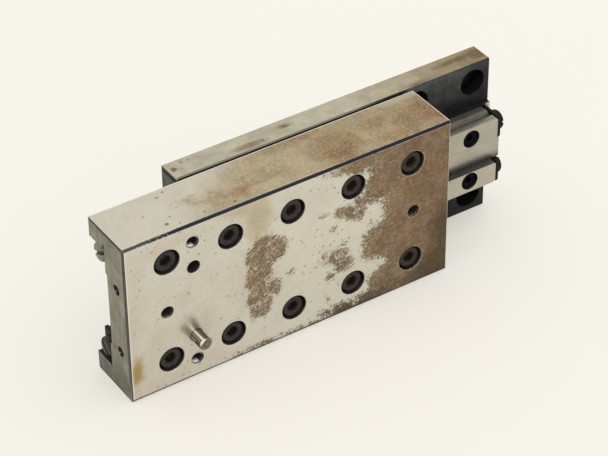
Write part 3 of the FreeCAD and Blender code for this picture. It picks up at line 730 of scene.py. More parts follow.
def table_edges(finish, colours, colour):
    """The table's colour with blue-tinted and bright edges, and painted shade with grime below."""
    x, y, z = finish.x, finish.y, finish.z
    rubbed_and_lit = x.span(NEAR.x + 27.0, NEAR.x + 18.0, 0.0, 0.19)
    chips = (finish.clouds(1.4, 5.0, 0.75) + rubbed_and_lit).span(0.75, 0.78)
    worn = x.span(NEAR.x + 20.0, NEAR.x + 1.0, 0.0, 0.34)
    blued_and_shaded = finish.coated(
        colours.blued_edge, (x.span(NEAR.x + 40.0, FAR.x - 30.0), colours.purple_edge),
        (chips, colours.worn_edge), (worn, colours.dull_steel))
    left_slope = finish.chamfer(0, -1) * x.span(NEAR.x + 0.7, NEAR.x + 0.5)
    top_slope = finish.chamfer(2, 1) * z.span(FAR.z - 1.3, FAR.z - 1.1)
    left_line = finish.front * x.span(NEAR.x + 0.85, NEAR.x + 0.6)
    back_line = y.span(FAR.y - 0.45, FAR.y - 0.25) | x.span(FAR.x - 0.4, FAR.x - 0.2)
    right_slope = finish.chamfer(0, 1) * x.span(FAR.x - 0.7, FAR.x - 0.5)
    bright = left_line | back_line * (finish.top * 0.75) | right_slope
    # Painted shade with grime along the lower front edge and its chamfer.
    under_slope = finish.chamfer(2, -1) * z.span(NEAR.z + 0.7, NEAR.z + 0.5)
    under_line = finish.front * z.span(NEAR.z + 1.15, NEAR.z + 0.85)
    return finish.coated(
        colour, (left_slope * 0.85, colours.purple_edge), (top_slope, blued_and_shaded),
        (bright, colours.worn_edge), ((under_slope | under_line) * 0.85, colours.dirt))


def table_finish(colours):
    """Ground steel with grinding arcs, flaky rust, stained edges and blue-tinted chamfers."""
    finish = Finish("ground_table_steel", Specular_IOR_Level=0.06)
    x, y, z = finish.x, finish.y, finish.z
    fine, broad = finish.clouds(*FINE_CLOUDS), finish.clouds(*BROAD_CLOUDS)
    grain = finish.grain((40.0, -160.0, 0.0), 5.0)
    steel, film = stained_steel(finish, colours, fine, broad)
    steel = finish.varied(steel, grain["Shade"], 0.965, 1.02)
    rust, cover, fleck = face_rust(finish, colours, fine, broad)
    spots = fine * 0.8 + finish.blots(TOP_SPOTS, table_top)
    crowd = abs(x - (MIDDLE.x + 6.0)).span(34.0, 10.0, 0.2, 0.3)
    crowd = crowd + z.span(FAR.z - 16.0, FAR.z - 4.0, 0.0, 0.06)
    specks = finish.specks(crowd) * finish.clouds(0.09, 4.0).span(0.36, 0.54)
    specks = specks * finish.front.fade(0.15, 1.0)
    colour = finish.coated(
        steel, (cover * 0.96, rust), (spots.span(0.4, 0.8, 0.0, 0.75), colours.dark_film),
        (specks * 0.72, colours.brown_rust), (finish.ends, table_ends(finish, colours, broad)))
    colour = table_edges(finish, colours, colour)

    # Painted shade: the channel and the holes are painted near black, less where a hole's mouth
    # looks towards the light.
    channel = abs(z).span(FAR.z - 6.6, FAR.z - 7.0) * y.span(NEAR.y + 11.5, NEAR.y + 12.0)
    channel = channel * ~finish.ends
    look = finish.split(finish.looks)[1]
    mouth = look.span(-0.45, -0.55) * look.span(-0.95, -0.85)
    lit = mouth * finish.upward().span(0.25, 0.75)
    hollow = finish.within(NEAR, FAR) * y.span(NEAR.y + 0.03, NEAR.y + 0.2)
    hollow = hollow * lit.fade(0.96, 0.6) * y.span(NEAR.y + 12.4, NEAR.y + 11.8)
    colour = finish.coated(
        colour, (channel * 0.96, colours.deep_black), (hollow, colours.bore_black))

    dull = cover | finish.ends * 0.4 | channel | film * 0.7 | hollow
    sheen = grain["Height"].span(*NOISE_RANGE, 0.22, 0.32)
    finish.set(
        Base_Color=colour, Metallic=dull.fade(0.84, 0.0), Roughness=dull * 0.42 + sheen)
    height = cover * 1.2 + grain["Height"] * 0.3 + fleck * cover * 0.9
    finish.bump(specks * -1.5 + height, 0.014)
    return finish.material


def edge_finish(colours):
    """Table edges: worn bright, blue-tinted at the left end, painted shade along the bottom."""
    finish = Finish("worn_edge_steel", Metallic=0.85)
    worn = finish.clouds(0.5, 5.0, 0.65).span(0.32, 0.58)
    bright = finish.mixed(worn, colours.dull_steel, colours.worn_edge)
    left = finish.x.span(NEAR.x + 0.42, NEAR.x + 0.3)
    # Painted shade along the lower edges, in the blue-tinted colour.
    blued_and_shaded = left | finish.z.span(NEAR.z + 0.7, NEAR.z + 0.5)
    finish.set(
        Base_Color=finish.mixed(blued_and_shaded * 0.92, bright, colours.blued_edge),
        Roughness=worn.fade(0.45, 0.28))
    return finish.material


def base_edge_finish(colours):
    """Edges of the base: dark along the front, worn bright at the left end and the back."""
    finish = Finish("base_edge_steel", Metallic=0.6, Roughness=0.42)
    x, y = finish.x, finish.y
    bare_and_lit = x.span(BASE_NEAR.x + 1.0, BASE_NEAR.x + 0.6) | y.span(-1.2, -0.8)
    # A painted highlight on the upper front edge, growing towards the left.
    bare_and_lit = bare_and_lit | x.span(*EDGE_HIGHLIGHT_STRETCH, 0.0, 0.25)
    ridge = y.span(LAND_SEAT - 0.2, LAND_SEAT - 0.9)
    finish.set(Base_Color=finish.mixed(bare_and_lit | ridge, colours.oxide, colours.dull_steel))
    return finish.material


def base_ground(finish, colours, grain):
    """The base's ground steel, stained along its upper edge; gives its colour and its rust."""
    mix, varied = finish.mixed, finish.varied
    fine, broad = finish.clouds(*FINE_CLOUDS), finish.clouds(*BROAD_CLOUDS)
    ground = mix(broad.span(0.35, 0.65), colours.ground_steel, colours.dull_steel)
    ground = mix(finish.top, ground, varied(colours.edge_steel, broad, 0.77, 0.99))
    film = upper_film(finish, -8.0, 82.0) | finish.wash(BASE_STAINS, base_top, 1.0) * 0.75
    mottled = varied(varied(colours.brown_film, fine, 0.86, 1.14), broad, 0.8, 1.15, 0.15)
    ground = varied(mix(film * 0.94, ground, mottled), grain["Shade"], 0.93, 1.03)
    ground = mix(finish.wash(BASE_STREAKS, base_top, 1.4) * 0.8, ground, colours.dark_film)
    rust = finish.bloom(finish.blots(BASE_SPOTS, base_top) & 1.0, 3.0, 4.0)["Cover"]
    ground = mix(rust * 0.8, ground, colours.deep_rust)
    ridge = mix(broad.span(0.35, 0.65, 0.0, 0.3), colours.rail_steel, colours.dull_steel)
    # Painted shade low on the ridge, next to the lower rail.
    ridge = mix(finish.z.span(-1.2, -5.4, 0.0, 0.85), ridge, colours.dirt)
    return mix(finish.y.span(LAND_SEAT - 0.9, LAND_SEAT - 1.9), ground, ridge), rust


def base_finish(colours):
    """Dark oxide on the front and the ends, ground steel on the edges, the lands and the ridge."""
    finish = Finish("base_plate_steel", Specular_IOR_Level=0.14)
    mix, x, y, z = finish.mixed, finish.x, finish.y, finish.z
    grain = finish.grain((-30.0, -420.0, 0.0), 4.0)
    ground, rust = base_ground(finish, colours, grain)

    land = y.span(LAND_SEAT - 0.15, LAND_SEAT - 0.05) * x.span(65.2, 64.9)
    behind = y.span(LAND_SEAT + 0.03, LAND_SEAT + 0.1) | land
    outer = (finish.top | finish.under) * abs(z).span(33.0, 33.2)
    # A painted highlight keeps the top strip of the front light towards the left.
    rubbed_and_lit = z.span(32.9, 33.2) * x.span(*EDGE_HIGHLIGHT_STRETCH, 0.0, 0.3)
    dark = behind * ~(outer | rubbed_and_lit | finish.back)
    mottle = finish.clouds(0.2, 6.0, 0.62).span(0.3, 0.75, 0.7, 1.7)
    # A painted bluish reflection on the upper right of the front.
    bluish = z.span(17.0, 32.0) * x.span(74.0, 46.0)
    oxide = finish.tinted(mix(bluish, colours.oxide, colours.teal_oxide), mottle)
    left_end = finish.ends * x.span(0.0, -1.0)
    # Painted shade on the front behind the table's back edge, and in the holes.
    seam = z.span(30.5, 31.8) * x.span(31.0, 28.0)
    hollow = finish.within(BASE_NEAR, BASE_FAR) * y.span(0.05 - BASE_FRONT, 0.5 - BASE_FRONT)
    oxide = finish.coated(
        oxide, (left_end, finish.tinted(colours.end_oxide, mottle)),
        (finish.specks(0.04) * 0.5, colours.dull_steel), (seam * 0.95, colours.seam_black),
        (hollow * ~finish.back * 0.92, colours.deep_black))
    sheen = grain["Height"].span(*NOISE_RANGE, 0.28, 0.42)
    finish.set(
        Base_Color=mix(dark, ground, oxide), Metallic=dark.fade(0.72, 0.0),
        Roughness=dark * 0.12 + sheen)
    finish.bump(rust * 1.2 + grain["Height"], 0.008)
    return finish.material


def rail_finish(colours):
    """Fine ground rails with darker, unground backs, raceway oil and painted shade in the holes."""
    finish = Finish("rail_ground_steel")
    x, y, z = finish.x, finish.y, finish.z
    inner_low, inner_high = (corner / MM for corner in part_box("upper_inner_rail"))
    outer_low, outer_high = (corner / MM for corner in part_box("upper_outer_rail"))
    grain = finish.grain((0.0, -2500.0, 0.0), 7.0)
    off_centre = abs(z)
    back = off_centre.span(inner_low.z + 0.12, inner_low.z + 0.04)
    back = back | off_centre.span(outer_high.z - 0.12, outer_high.z - 0.04)
    steel = finish.varied(colours.rail_steel, grain["Shade"], 0.95, 1.04)
    steel = finish.tinted(steel, z.span(2.0, -6.0, 1.0, 1.14))
    film = finish.clouds(0.12, 5.0, 0.6).span(0.42, 0.75)
    middle = (inner_low.y + inner_high.y) / 2
    # Painted shade: the relief slot at the raceway's bottom is drawn dark; old oil darkens the
    # raceway.
    slot = y.span(middle - 0.55, middle - 0.35) * y.span(middle + 0.55, middle + 0.35)
    oil = y.span(middle - 0.3, middle + 0.1) * film.fade(0.8, 0.92)
    oil = (oil | 0.5 | slot) * ~(finish.front | finish.back)
    first = off_centre.span(
        *BETWEEN_RAILS, (inner_low.x + inner_high.x) / 2, (outer_low.x + outer_high.x) / 2)
    row = off_centre.span(
        *BETWEEN_RAILS, inner_low.z + RAIL_HOLE_OFFSET, outer_high.z - RAIL_HOLE_OFFSET)
    beside = finish.math("WRAP", x - first, HOLE_PITCH / 2, -HOLE_PITCH / 2)
    away = finish.vector("LENGTH", finish.joined(beside, off_centre - row, 0.0))
    # Painted shade in the rails' holes.
    hollow = away.span(3.85, 3.75) * y.span(inner_low.y + 0.02, inner_low.y + 0.2)
    hollow = hollow * y.span(inner_low.y + 4.1, inner_low.y + 3.8)
    dark = back | hollow | oil * 0.8
    sheen = grain["Height"].span(*NOISE_RANGE, 0.27, 0.40)
    colour = finish.coated(
        steel, (film * 0.25, colours.dull_steel), (oil, colours.dirt),
        (finish.ends * 0.8, colours.rail_dark), (back, colours.rail_dark),
        (hollow * 0.95, colours.deep_black))
    finish.set(
        Base_Color=colour, Metallic=dark.fade(0.8, 0.1), Roughness=dark * 0.1 + sheen)
    finish.bump(grain["Height"], 0.004)
    return finish.material


def pin_finish(colours, axis):
    """A hardened pin with painted reflection: bands of bright window and dark walls along it."""
    finish = Finish("bright_pin", Metallic=0.9, Roughness=0.2)
    turn = finish.math("ARCTAN2", finish.z - axis.z / MM, finish.x - axis.x / MM)
    # The sides are painted with reflection: light and dark bands by the turn about the pin's axis.
    shade = PIN_SHADE
    for middle, half, strength in PIN_REFLECTION_BANDS:
        away = abs(turn - math.radians(middle))
        shade = away.span(math.radians(half), 0.0, 0.0, strength) + shade
    side = finish.tinted(colours.pin_steel, shade)
    look = finish.split(finish.looks)[1]
    chamfer = look.span(-0.2, -0.4) * look.span(-0.97, -0.9)
    # A painted highlight on the chamfer ring, on its side towards the light.
    lit = abs(turn - math.radians(135)).span(1.0, 0.1)
    ring = finish.mixed(lit, finish.tinted(colours.pin_steel, 0.55), colours.worn_edge)
    side = finish.mixed(chamfer, side, ring)
    tip = finish.varied(colours.pin_steel, finish.clouds(1.2, 4.0), 0.4, 0.85, 0.15)
    finish.set(Base_Color=finish.mixed(finish.front, side, tip))
    return finish.material


def thread_finish(colours):
    """Painted glints on thread crests near a hole's mouth, and painted shade further in."""
    finish = Finish("thread_steel", Metallic=0.3, Roughness=0.35, Specular_IOR_Level=0.1)
    # Painted shade deeper in; painted glints where crests look towards the light, faint in the axis
    # taps.
    deep = ((finish.x - NEAR.x) & (finish.y - NEAR.y)).span(0.9, 3.2)
    lit = finish.upward().span(0.45, 0.7) * ~deep * abs(finish.z).span(8.0, 12.0, 0.03, 1.0)
    finish.set(Base_Color=finish.mixed(lit, colours.bore_black, colours.glint))
    return finish.material


def zinc_finish(colours):
    """Dull plated screws with painted shade in their slots and over those of the lower rail."""
    finish = Finish("zinc_stop_screws", Metallic=0.6)
    x, y, z = finish.x, finish.y, finish.z
    left_low, _ = (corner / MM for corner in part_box("upper_outer_left_stop_screw"))
    right_low, right_high = (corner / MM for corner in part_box("upper_outer_right_stop_screw"))
    axis = (right_low + right_high) / 2
    radius = (right_high.z - right_low.z) / 2
    below = (x - left_low.x) & (right_high.x - x)
    off = finish.vector("LENGTH", finish.joined(0.0, y - axis.y, abs(z) - axis.z))
    outward = abs(finish.split(finish.looks)[0])
    # Painted shade on the slot's walls and floor.
    wall = outward.span(0.3, 0.15) * off.span(radius - 0.1, radius - 0.3)
    slot = wall | outward.span(0.9, 0.97) * below.span(0.7, 1.0)
    mottle = finish.clouds(1.1, 6.0, 0.65)
    plate = finish.varied(colours.zinc, mottle, 0.6, 1.25)
    plate = finish.mixed(slot * 0.92, plate, colours.deep_black)
    # Painted shade over the screws of the lower rail.
    oil_and_shade = z.span(4.0, -4.0, 0.0, 0.85)
    finish.set(
        Base_Color=finish.mixed(oil_and_shade, plate, colours.plate_dark),
        Metallic=slot.fade(0.6, 0.0), Roughness=mottle.span(*NOISE_RANGE, 0.3, 0.5))
    finish.bump(mottle, 0.010)
    return finish.material


def blackened_finish(
        name, colour, dust_colour, dusty=0.22, shine=0.35, warm=None, head=None, deep=None):
    """Black oxide with dust in it, warmer where the rust is, painted shade below a head's top."""
    finish = Finish(name, Metallic=0.1, Specular_IOR_Level=shine)
    if warm is not None:
        colour = finish.mixed(finish.x.span(NEAR.x + 30.0, FAR.x - 30.0), colour, warm)
    mottle = finish.clouds(1.3, 6.0, 0.65)
    dust = finish.clouds(2.6, 5.0, 0.7).span(0.5, 0.8, 0.0, dusty)
    dark = finish.mixed(dust, finish.varied(colour, mottle, 0.7, 1.4, 0.25), dust_colour)
    # Painted shade below a head's top: in its socket and round its rim.
    if head is not None:
        dark = finish.mixed(finish.y.span(head / MM + 0.2, head / MM + 1.8), dark, deep)
    finish.set(Base_Color=dark, Roughness=mottle.span(*NOISE_RANGE, 0.36, 0.58))
    finish.bump(mottle, 0.010)
    return finish.material


def bright_finish(name, colour, dirt, turned, rough):
    """Turned or lapped bright metal with a grimy film; turned gives the marks per millimetre."""
    finish = Finish(name, Metallic=0.95)
    film = finish.clouds(0.5, 5.0, 0.65).span(0.45, 0.8, 0.0, 0.5)
    marks = finish.clouds(turned, 4.0, 0.6)
    sheen = marks.span(*NOISE_RANGE, rough - 0.06, rough + 0.1)
    finish.set(Base_Color=finish.mixed(film, colour, dirt), Roughness=film * 0.3 + sheen)
    finish.bump(marks, 0.004)
    return finish.material


def floor_finish(stage):
    """Pale paper, a little uneven; what the camera and mirrors see is partly its own light."""
    finish = Finish("pale_floor", Roughness=0.9, Specular_IOR_Level=0.1)
    glow = finish.seen() * stage.floor_glow
    paper = finish.varied(stage.floor_colour, finish.clouds(0.006, 3.0), 0.985, 1.0)
    finish.set(
        Base_Color=finish.tinted(paper, ~glow), Emission_Color=stage.floor_seen,
        Emission_Strength=glow)
    return finish.material


# Mesh building.

def add_piece(name, form):
    """Makes an object of a bmesh, at the origin."""
    mesh = bpy.data.meshes.new(name)
    form.to_mesh(mesh)
    form.free()
    piece = bpy.data.objects.new(name, mesh)
    bpy.context.scene.collection.objects.link(piece)
    return piece


def shade(mesh):
    """Smooth shading with sharp edges kept."""
    mesh.polygons.foreach_set("use_smooth", [True] * len(mesh.polygons))
    mesh.set_sharp_from_angle(angle=SMOOTH_LIMIT)


def settle(piece):
    """Turns a piece with modifiers into a plain mesh."""
    graph = bpy.context.evaluated_depsgraph_get()
    plain = bpy.data.meshes.new_from_object(piece.evaluated_get(graph), depsgraph=graph)
    piece.modifiers.clear()
    rough = piece.data
    piece.data = plain
    plain.name = piece.name
    bpy.data.meshes.remove(rough)
    shade(plain)
    return piece


def carry(piece, body, slot, *nodes):
    """Puts a finished piece on its body in place of CAD nodes."""
    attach(piece, body)
    if nodes:
        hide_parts(*nodes)


def break_edges(piece, width, limit):
    """Bevels the edges of a piece that turn by more than a limit."""
    bevel = piece.modifiers.new("Edge break", "BEVEL")
    bevel.width = width
    bevel.segments = 2
    bevel.limit_method = "ANGLE"
    bevel.angle_limit = limit
    return bevel


def edged_copy(name, nodes, width, finish, worn=None):
    """A merged copy of CAD nodes with every machined edge broken by a narrow worn bevel."""
    form = bmesh.new()
    for node in nodes:
        form.from_mesh(frame["nodes"][node].data)
    bmesh.ops.remove_doubles(form, verts=form.verts, dist=MERGE_DISTANCE)
    bmesh.ops.dissolve_limit(form, angle_limit=FLAT_LIMIT, verts=form.verts, edges=form.edges)
    for face in form.faces:
        face.material_index = 0
    piece = add_piece(name, form)
    piece.data.materials.append(finish)
    piece.data.materials.append(worn or finish)
    break_edges(piece, width, EDGE_LIMIT).material = 1
    return settle(piece)


def hexagon(width):
    """The radius of a hexagon at an angle, for a width across its flats."""
    sector = math.radians(60)
    return lambda angle: width / 2 / math.cos(angle % sector - sector / 2)


def knurled(radius, depth):
    """The radius of a knurled rim at an angle."""
    return lambda angle: radius - depth * (0.5 + 0.5 * math.cos(angle * KNURL_RIDGES))


def turned_form(rings, segments=48, place=Matrix()):
    """A closed skin over rings of (radius, height) about Z; a radius may depend on the angle."""
    form = bmesh.new()
    loops = []
    for radius, height in rings:
        loop = []
        for step in range(segments):
            angle = math.tau * step / segments
            reach = radius(angle) if callable(radius) else radius
            loop.append(form.verts.new((reach * math.cos(angle), reach * math.sin(angle), height)))
        loops.append(loop)
    for lower, upper in zip(loops, loops[1:]):
        for step in range(segments):
            after = (step + 1) % segments
            form.faces.new((lower[step], lower[after], upper[after], upper[step]))
    form.faces.new(list(reversed(loops[0])))
    form.faces.new(loops[-1])
    bmesh.ops.recalc_face_normals(form, faces=form.faces)
    bmesh.ops.transform(form, matrix=place, verts=form.verts)
    return form


def rounded(outer, top, reach, steps=4):
    """Rings that round an outer edge off towards the top."""
    turns = [math.radians(90) * step / steps for step in range(steps + 1)]
    return [
        (outer - reach + reach * math.cos(turn), top - reach + reach * math.sin(turn))
        for turn in turns]


def thread_rings(radius, low, high, pitch, rise):
    """Rings of a threaded shank between two heights."""
    turns = max(1, round((high - low) / pitch))
    step = (high - low) / turns
    rings = []
    for turn in range(turns):
        rings += [(radius - rise, low + turn * step), (radius, low + (turn + 0.5) * step)]
    return rings + [(radius - rise, high)]


def cap_screw_form(sizes, head, height, shank, reach, key, key_depth):
    """A socket-head cap screw with its seat at the origin and its head towards the front."""
    radius, stem, rise = head / 2, shank / 2, sizes.thread_rise
    tip, neck, foot, rim = 0.3 * MM, 0.4 * MM, 0.2 * MM, 0.35 * MM
    mouth, into = key / math.sqrt(3), sizes.socket_mouth
    grip, socket = knurled(radius, sizes.knurl_depth), hexagon(key)
    rings = [(stem - rise - tip, -reach)]
    rings += thread_rings(stem, tip - reach, -neck - foot, sizes.thread_pitch, rise)
    rings += [(stem, -neck), (stem, 0.0), (radius - foot, 0.0), (radius, foot), (grip, rim)]
    rings.append((grip, height - sizes.head_round - tip))
    rings += rounded(radius, height, sizes.head_round)
    rings += [(mouth + into * 0.6, height), (mouth, height - into * 0.5)]
    rings += [(socket, height - into), (socket, height - key_depth)]
    rings.append((key * 0.1, height - key_depth - key * 0.18))
    return turned_form(rings, place=TURN_TO_FRONT)


def set_screw_form(sizes, diameter, reach, key, key_depth):
    """A socket set screw with its cup point at the origin and its socket downwards."""
    radius, rise, socket = diameter / 2, sizes.thread_rise, hexagon(key)
    rings = [(radius * 0.3, 0.25 * MM), (radius * 0.62, 0.0), (radius * 0.85, 0.45 * MM)]
    rings += thread_rings(radius, 0.5 * MM, reach - 0.35 * MM, sizes.thread_pitch * 0.875, rise)
    rings += [(radius - rise, reach), (key / math.sqrt(3) + 0.1 * MM, reach)]
    rings += [(socket, reach - 0.15 * MM), (socket, reach - key_depth)]
    rings.append((key * 0.1, reach - key_depth - 0.3 * MM))
    return turned_form(rings, place=TURN_TO_FLOOR)


def slotted_screw(name, sizes, head, height, shank, reach):
    """A slotted cheese-head screw with its seat at the origin and its head along +X."""
    radius, stem = head / 2, shank / 2
    rings = [(stem - 0.35 * MM, -reach)]
    rings += thread_rings(stem, 0.25 * MM - reach, -0.3 * MM, 0.5 * MM, 0.25 * MM)
    rings += [(stem, 0.0), (radius - 0.1 * MM, 0.0), (radius, 0.15 * MM)]
    rings += rounded(radius, height * 0.94, height * 0.42, 6)
    rings.append((radius * 0.3, height))
    screw = add_piece(name, turned_form(rings))
    cutter = bmesh.new()
    shape = Matrix.Translation((0.0, 0.0, height)) @ Matrix.Diagonal(
        (head * 1.2, sizes.slot_width, sizes.slot_depth * 2, 1.0))
    bmesh.ops.create_cube(cutter, size=1.0, matrix=shape)
    slot = add_piece("screw_slot", cutter)
    cut = screw.modifiers.new("Slot", "BOOLEAN")
    cut.object = slot
    cut.solver = "EXACT"
    break_edges(screw, SLOT_EDGE, SLOT_LIMIT)
    settle(screw)
    bpy.data.objects.remove(slot)
    screw.data.transform(TURN_TO_RIGHT)
    return screw


# Geometry node trees.

def new_tree(inputs):
    """An empty geometry tree that takes a mesh, the named inputs and a material."""
    return new_group(
        {"Geometry": GEOMETRY, **inputs, "Material": MATERIAL}, {"Geometry": GEOMETRY},
        "GeometryNodeTree")


def placed(wiring, start, points, shape, rotation):
    """Puts the shape on the points and ends the tree with a realised mesh and its material."""
    copies = wiring.add("GeometryNodeInstanceOnPoints", {
        "Points": points, "Instance": shape, "Rotation": rotation.outputs[0]})
    real = wiring.add("GeometryNodeRealizeInstances", {"Geometry": copies.outputs[0]})
    done = wiring.add("GeometryNodeSetMaterial", {
        "Geometry": real.outputs[0], "Material": start["Material"]})
    wiring.put_out(Geometry=done.outputs[0])
    return wiring.tree


def row_of(wiring, start, axis, turn):
    """Places the mesh in a straight row, each copy turned about an axis."""
    line = wiring.add("GeometryNodeMeshLine", {
        "Count": start["Count"], "Start Location": start["Start"], "Offset": start["Step"]})
    rotation = wiring.add("FunctionNodeAxisAngleToRotation", {"Axis": axis, "Angle": turn})
    return placed(wiring, start, line.outputs[0], start["Geometry"], rotation)


def index(wiring):
    """The number of a point among the points."""
    return Value(wiring, wiring.add("GeometryNodeInputIndex").outputs[0])


def screw_row_tree():
    """A straight row of one screw, each turned about its own axis by a seeded amount."""
    wiring, start = new_tree({
        "Start": VECTOR, "Step": VECTOR, "Count": COUNT, "Axis": VECTOR, "Seed": COUNT})
    chance = wiring.add("FunctionNodeRandomValue", {"Seed": start["Seed"]}, data_type="FLOAT")
    return row_of(wiring, start, start["Axis"], Value(wiring, chance.outputs[1]) * math.tau)


def crossed_roller_tree():
    """A row of rollers tilted one way and the other in turn."""
    wiring, start = new_tree({
        "Start": VECTOR, "Step": VECTOR, "Count": COUNT, "Tilt": FLOAT})
    side = wiring.math("MODULO", index(wiring), 2.0) * -2.0 + 1.0
    return row_of(wiring, start, (1.0, 0.0, 0.0), side * start["Tilt"])


def stop_screw_tree():
    """One slotted screw at both ends of two rails, each slot lying its own way."""
    wiring, start = new_tree({
        "Middle": VECTOR, "Apart": FLOAT, "Height": FLOAT, "Turn": FLOAT, "Spread": FLOAT})
    grid = wiring.add("GeometryNodeMeshGrid", {
        "Size X": start["Apart"], "Size Y": start["Height"], "Vertices X": 2, "Vertices Y": 2})
    stood = wiring.add("GeometryNodeTransform", {
        "Geometry": grid.outputs["Mesh"], "Translation": start["Middle"],
        "Rotation": (math.radians(90), 0.0, 0.0)})
    place = wiring.add("GeometryNodeInputPosition").outputs[0]
    beside = wiring.split(wiring.vector("SUBTRACT", place, start["Middle"]))[0]
    about = wiring.math("LESS_THAN", beside, 0.0) * math.pi
    turn = wiring.joined(index(wiring) * start["Spread"] + start["Turn"], 0.0, about)
    rotation = wiring.add("FunctionNodeEulerToRotation", {0: turn})
    return placed(wiring, start, stood.outputs[0], start["Geometry"], rotation)


def thread_tree():
    """A ridge that winds down the wall of each tapped hole; the holes' mouths are the points."""
    wiring, start = new_tree({
        "Radius": FLOAT, "Pitch": FLOAT, "Rise": FLOAT, "Depth": FLOAT, "Heading": VECTOR})
    coil = wiring.add("GeometryNodeCurveSpiral", {
        "Resolution": 32, "Rotations": wiring.math("DIVIDE", start["Depth"], start["Pitch"]),
        "Start Radius": start["Radius"], "End Radius": start["Radius"], "Height": start["Depth"]})
    upright = wiring.add("GeometryNodeSetCurveNormal", {"Curve": coil.outputs[0]}, mode="Z_UP")
    ridge = wiring.add(
        "GeometryNodeCurvePrimitiveCircle", {"Resolution": 4, "Radius": start["Rise"]})
    wound = wiring.add("GeometryNodeCurveToMesh", {
        "Curve": upright.outputs[0], "Profile Curve": ridge.outputs[0], "Fill Caps": True})
    rotation = wiring.add("FunctionNodeEulerToRotation", {0: start["Heading"]})
    return placed(wiring, start, start["Geometry"], wound.outputs[0], rotation)


def grow(piece, build, **inputs):
    """Runs a geometry tree on a piece with the inputs named, and keeps the result as a mesh."""
    tree = once(build)
    modifier = piece.modifiers.new(tree.name, "NODES")
    modifier.node_group = tree
    for item in tree.interface.items_tree:
        key = item.name.lower()
        if item.in_out == "INPUT" and key in inputs:
            modifier[item.identifier] = inputs[key]
    return settle(piece)


def screw_row(name, form, low, high, width, seat, **kind):
    """A row of screws of one form between two corners, with their seats at a depth and height."""
    step = (high.x - low.x - width) / (ROW_COUNT - 1)
    return grow(
        add_piece(name, form), screw_row_tree, start=(low.x + width / 2, *seat),
        step=(step, 0.0, 0.0), count=ROW_COUNT, **kind)


# Operators.

class Making:
    """Makes an operator's pieces with the sizes and colours of the scene."""

    def execute(self, context):
        self.make(context.scene.slide_sizes, context.scene.slide_colours)
        return {"FINISHED"}


class SLIDE_OT_table(Making, bpy.types.Operator):
    """Ground table with worn edges"""

    bl_idname = "slide.table"
    bl_label = "Table"

    def make(self, sizes, colours):
        table = edged_copy(
            "ground_table", ["carriage_table"], sizes.edge_break,
            table_finish(colours), edge_finish(colours))
        carry(table, "table", "table_steel", "carriage_table")


class SLIDE_OT_base(Making, bpy.types.Operator):
    """Base plate with a dark front and ground edges"""

    bl_idname = "slide.base"
    bl_label = "Base plate"

    def make(self, sizes, colours):
        base = edged_copy(
            "ridged_base", ["base_plate"], sizes.edge_break,
            base_finish(colours), base_edge_finish(colours))
        carry(base, "base", "base_steel", "base_plate")


class SLIDE_OT_rails(Making, bpy.types.Operator):
    """Four grooved rails"""

    bl_idname = "slide.rails"
    bl_label = "Rails"

    def make(self, sizes, colours):
        steel = rail_finish(colours)
        for rail in RAILS:
            node = f"{rail}_rail"
            piece = edged_copy(f"{rail}_raceway", [node], sizes.rail_edge, steel)
            carry(piece, "base" if "inner" in rail else "table", "rail_steel", node)


class SLIDE_OT_cap_screws(Making, bpy.types.Operator):
    """Socket-head screws of the table and the base"""

    bl_idname = "slide.cap_screws"
    bl_label = "Cap screws"

    def make(self, sizes, colours):
        # The base screws are drawn near black: painted shade deep in the rails' holes.
        warm, sunk = colours.warm_oxide, colours.sunk_black
        kinds = {
            "table": (sizes.table_key, colours.black_oxide, 0.1, 0.14, warm, warm),
            "base": (sizes.base_key, sunk, 0.0, 0.03, None, sunk),
        }
        for body, (key, colour, dusty, shine, rusted, deep) in kinds.items():
            height, shank, key_depth = (size * MM for size in CAP_SCREWS[body])
            black = blackened_finish(
                f"black_{body}_screws", colour, colours.dull_steel, dusty, shine, rusted,
                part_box(f"upper_{body}_screws")[0].y, deep)
            for row, seed in zip(ROWS, CAP_SCREW_SEEDS[body]):
                node = f"{row}_{body}_screws"
                low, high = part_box(node)
                head = high.z - low.z
                seat = low.y + height
                form = cap_screw_form(sizes, head, height, shank, high.y - seat, key, key_depth)
                piece = screw_row(
                    f"{row}_{body}_cap_screws", form, low, high, head,
                    (seat, (low.z + high.z) / 2), axis=(0.0, 1.0, 0.0), seed=seed, material=black)
                carry(piece, body, "black_screw", node)


class SLIDE_OT_stops(Making, bpy.types.Operator):
    """Stop plates and their slotted screws"""

    bl_idname = "slide.stops"
    bl_label = "Stops"

    def make(self, sizes, colours):
        dark, dark_screw = (
            blackened_finish(f"dark_stop_{part}", colours.plate_dark, colours.zinc, 0.05, 0.1)
            for part in ("plates", "screws"))
        for kind, body, slot, finish, turn in (
                ("inner", "base", "black_screw", dark_screw, INNER_SLOT_TURN),
                ("outer", "table", "zinc_screw", zinc_finish(colours), OUTER_SLOT_TURN)):
            names = [f"{row}_{kind}_{end}_stop" for row in ROWS for end in ENDS]
            plates = [f"{name}_plate" for name in names]
            piece = edged_copy(f"{kind}_stop_plates", plates, sizes.plate_edge, dark)
            carry(piece, body, "dark_plate", *plates)

            screws = [f"{name}_screw" for name in names]
            low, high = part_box(f"upper_{kind}_right_stop_screw")
            plate_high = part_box(f"upper_{kind}_right_stop_plate")[1].x
            plate_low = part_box(f"upper_{kind}_left_stop_plate")[0].x
            screw = slotted_screw(
                f"{kind}_stop_screws", sizes, high.z - low.z, high.x - plate_high, STOP_SHANK,
                plate_high - low.x)
            grow(
                screw, stop_screw_tree, apart=plate_high - plate_low, height=high.z + low.z,
                middle=((plate_high + plate_low) / 2, (low.y + high.y) / 2, 0.0),
                turn=turn, spread=SLOT_SPREAD, material=finish)
            carry(screw, body, slot, *screws)


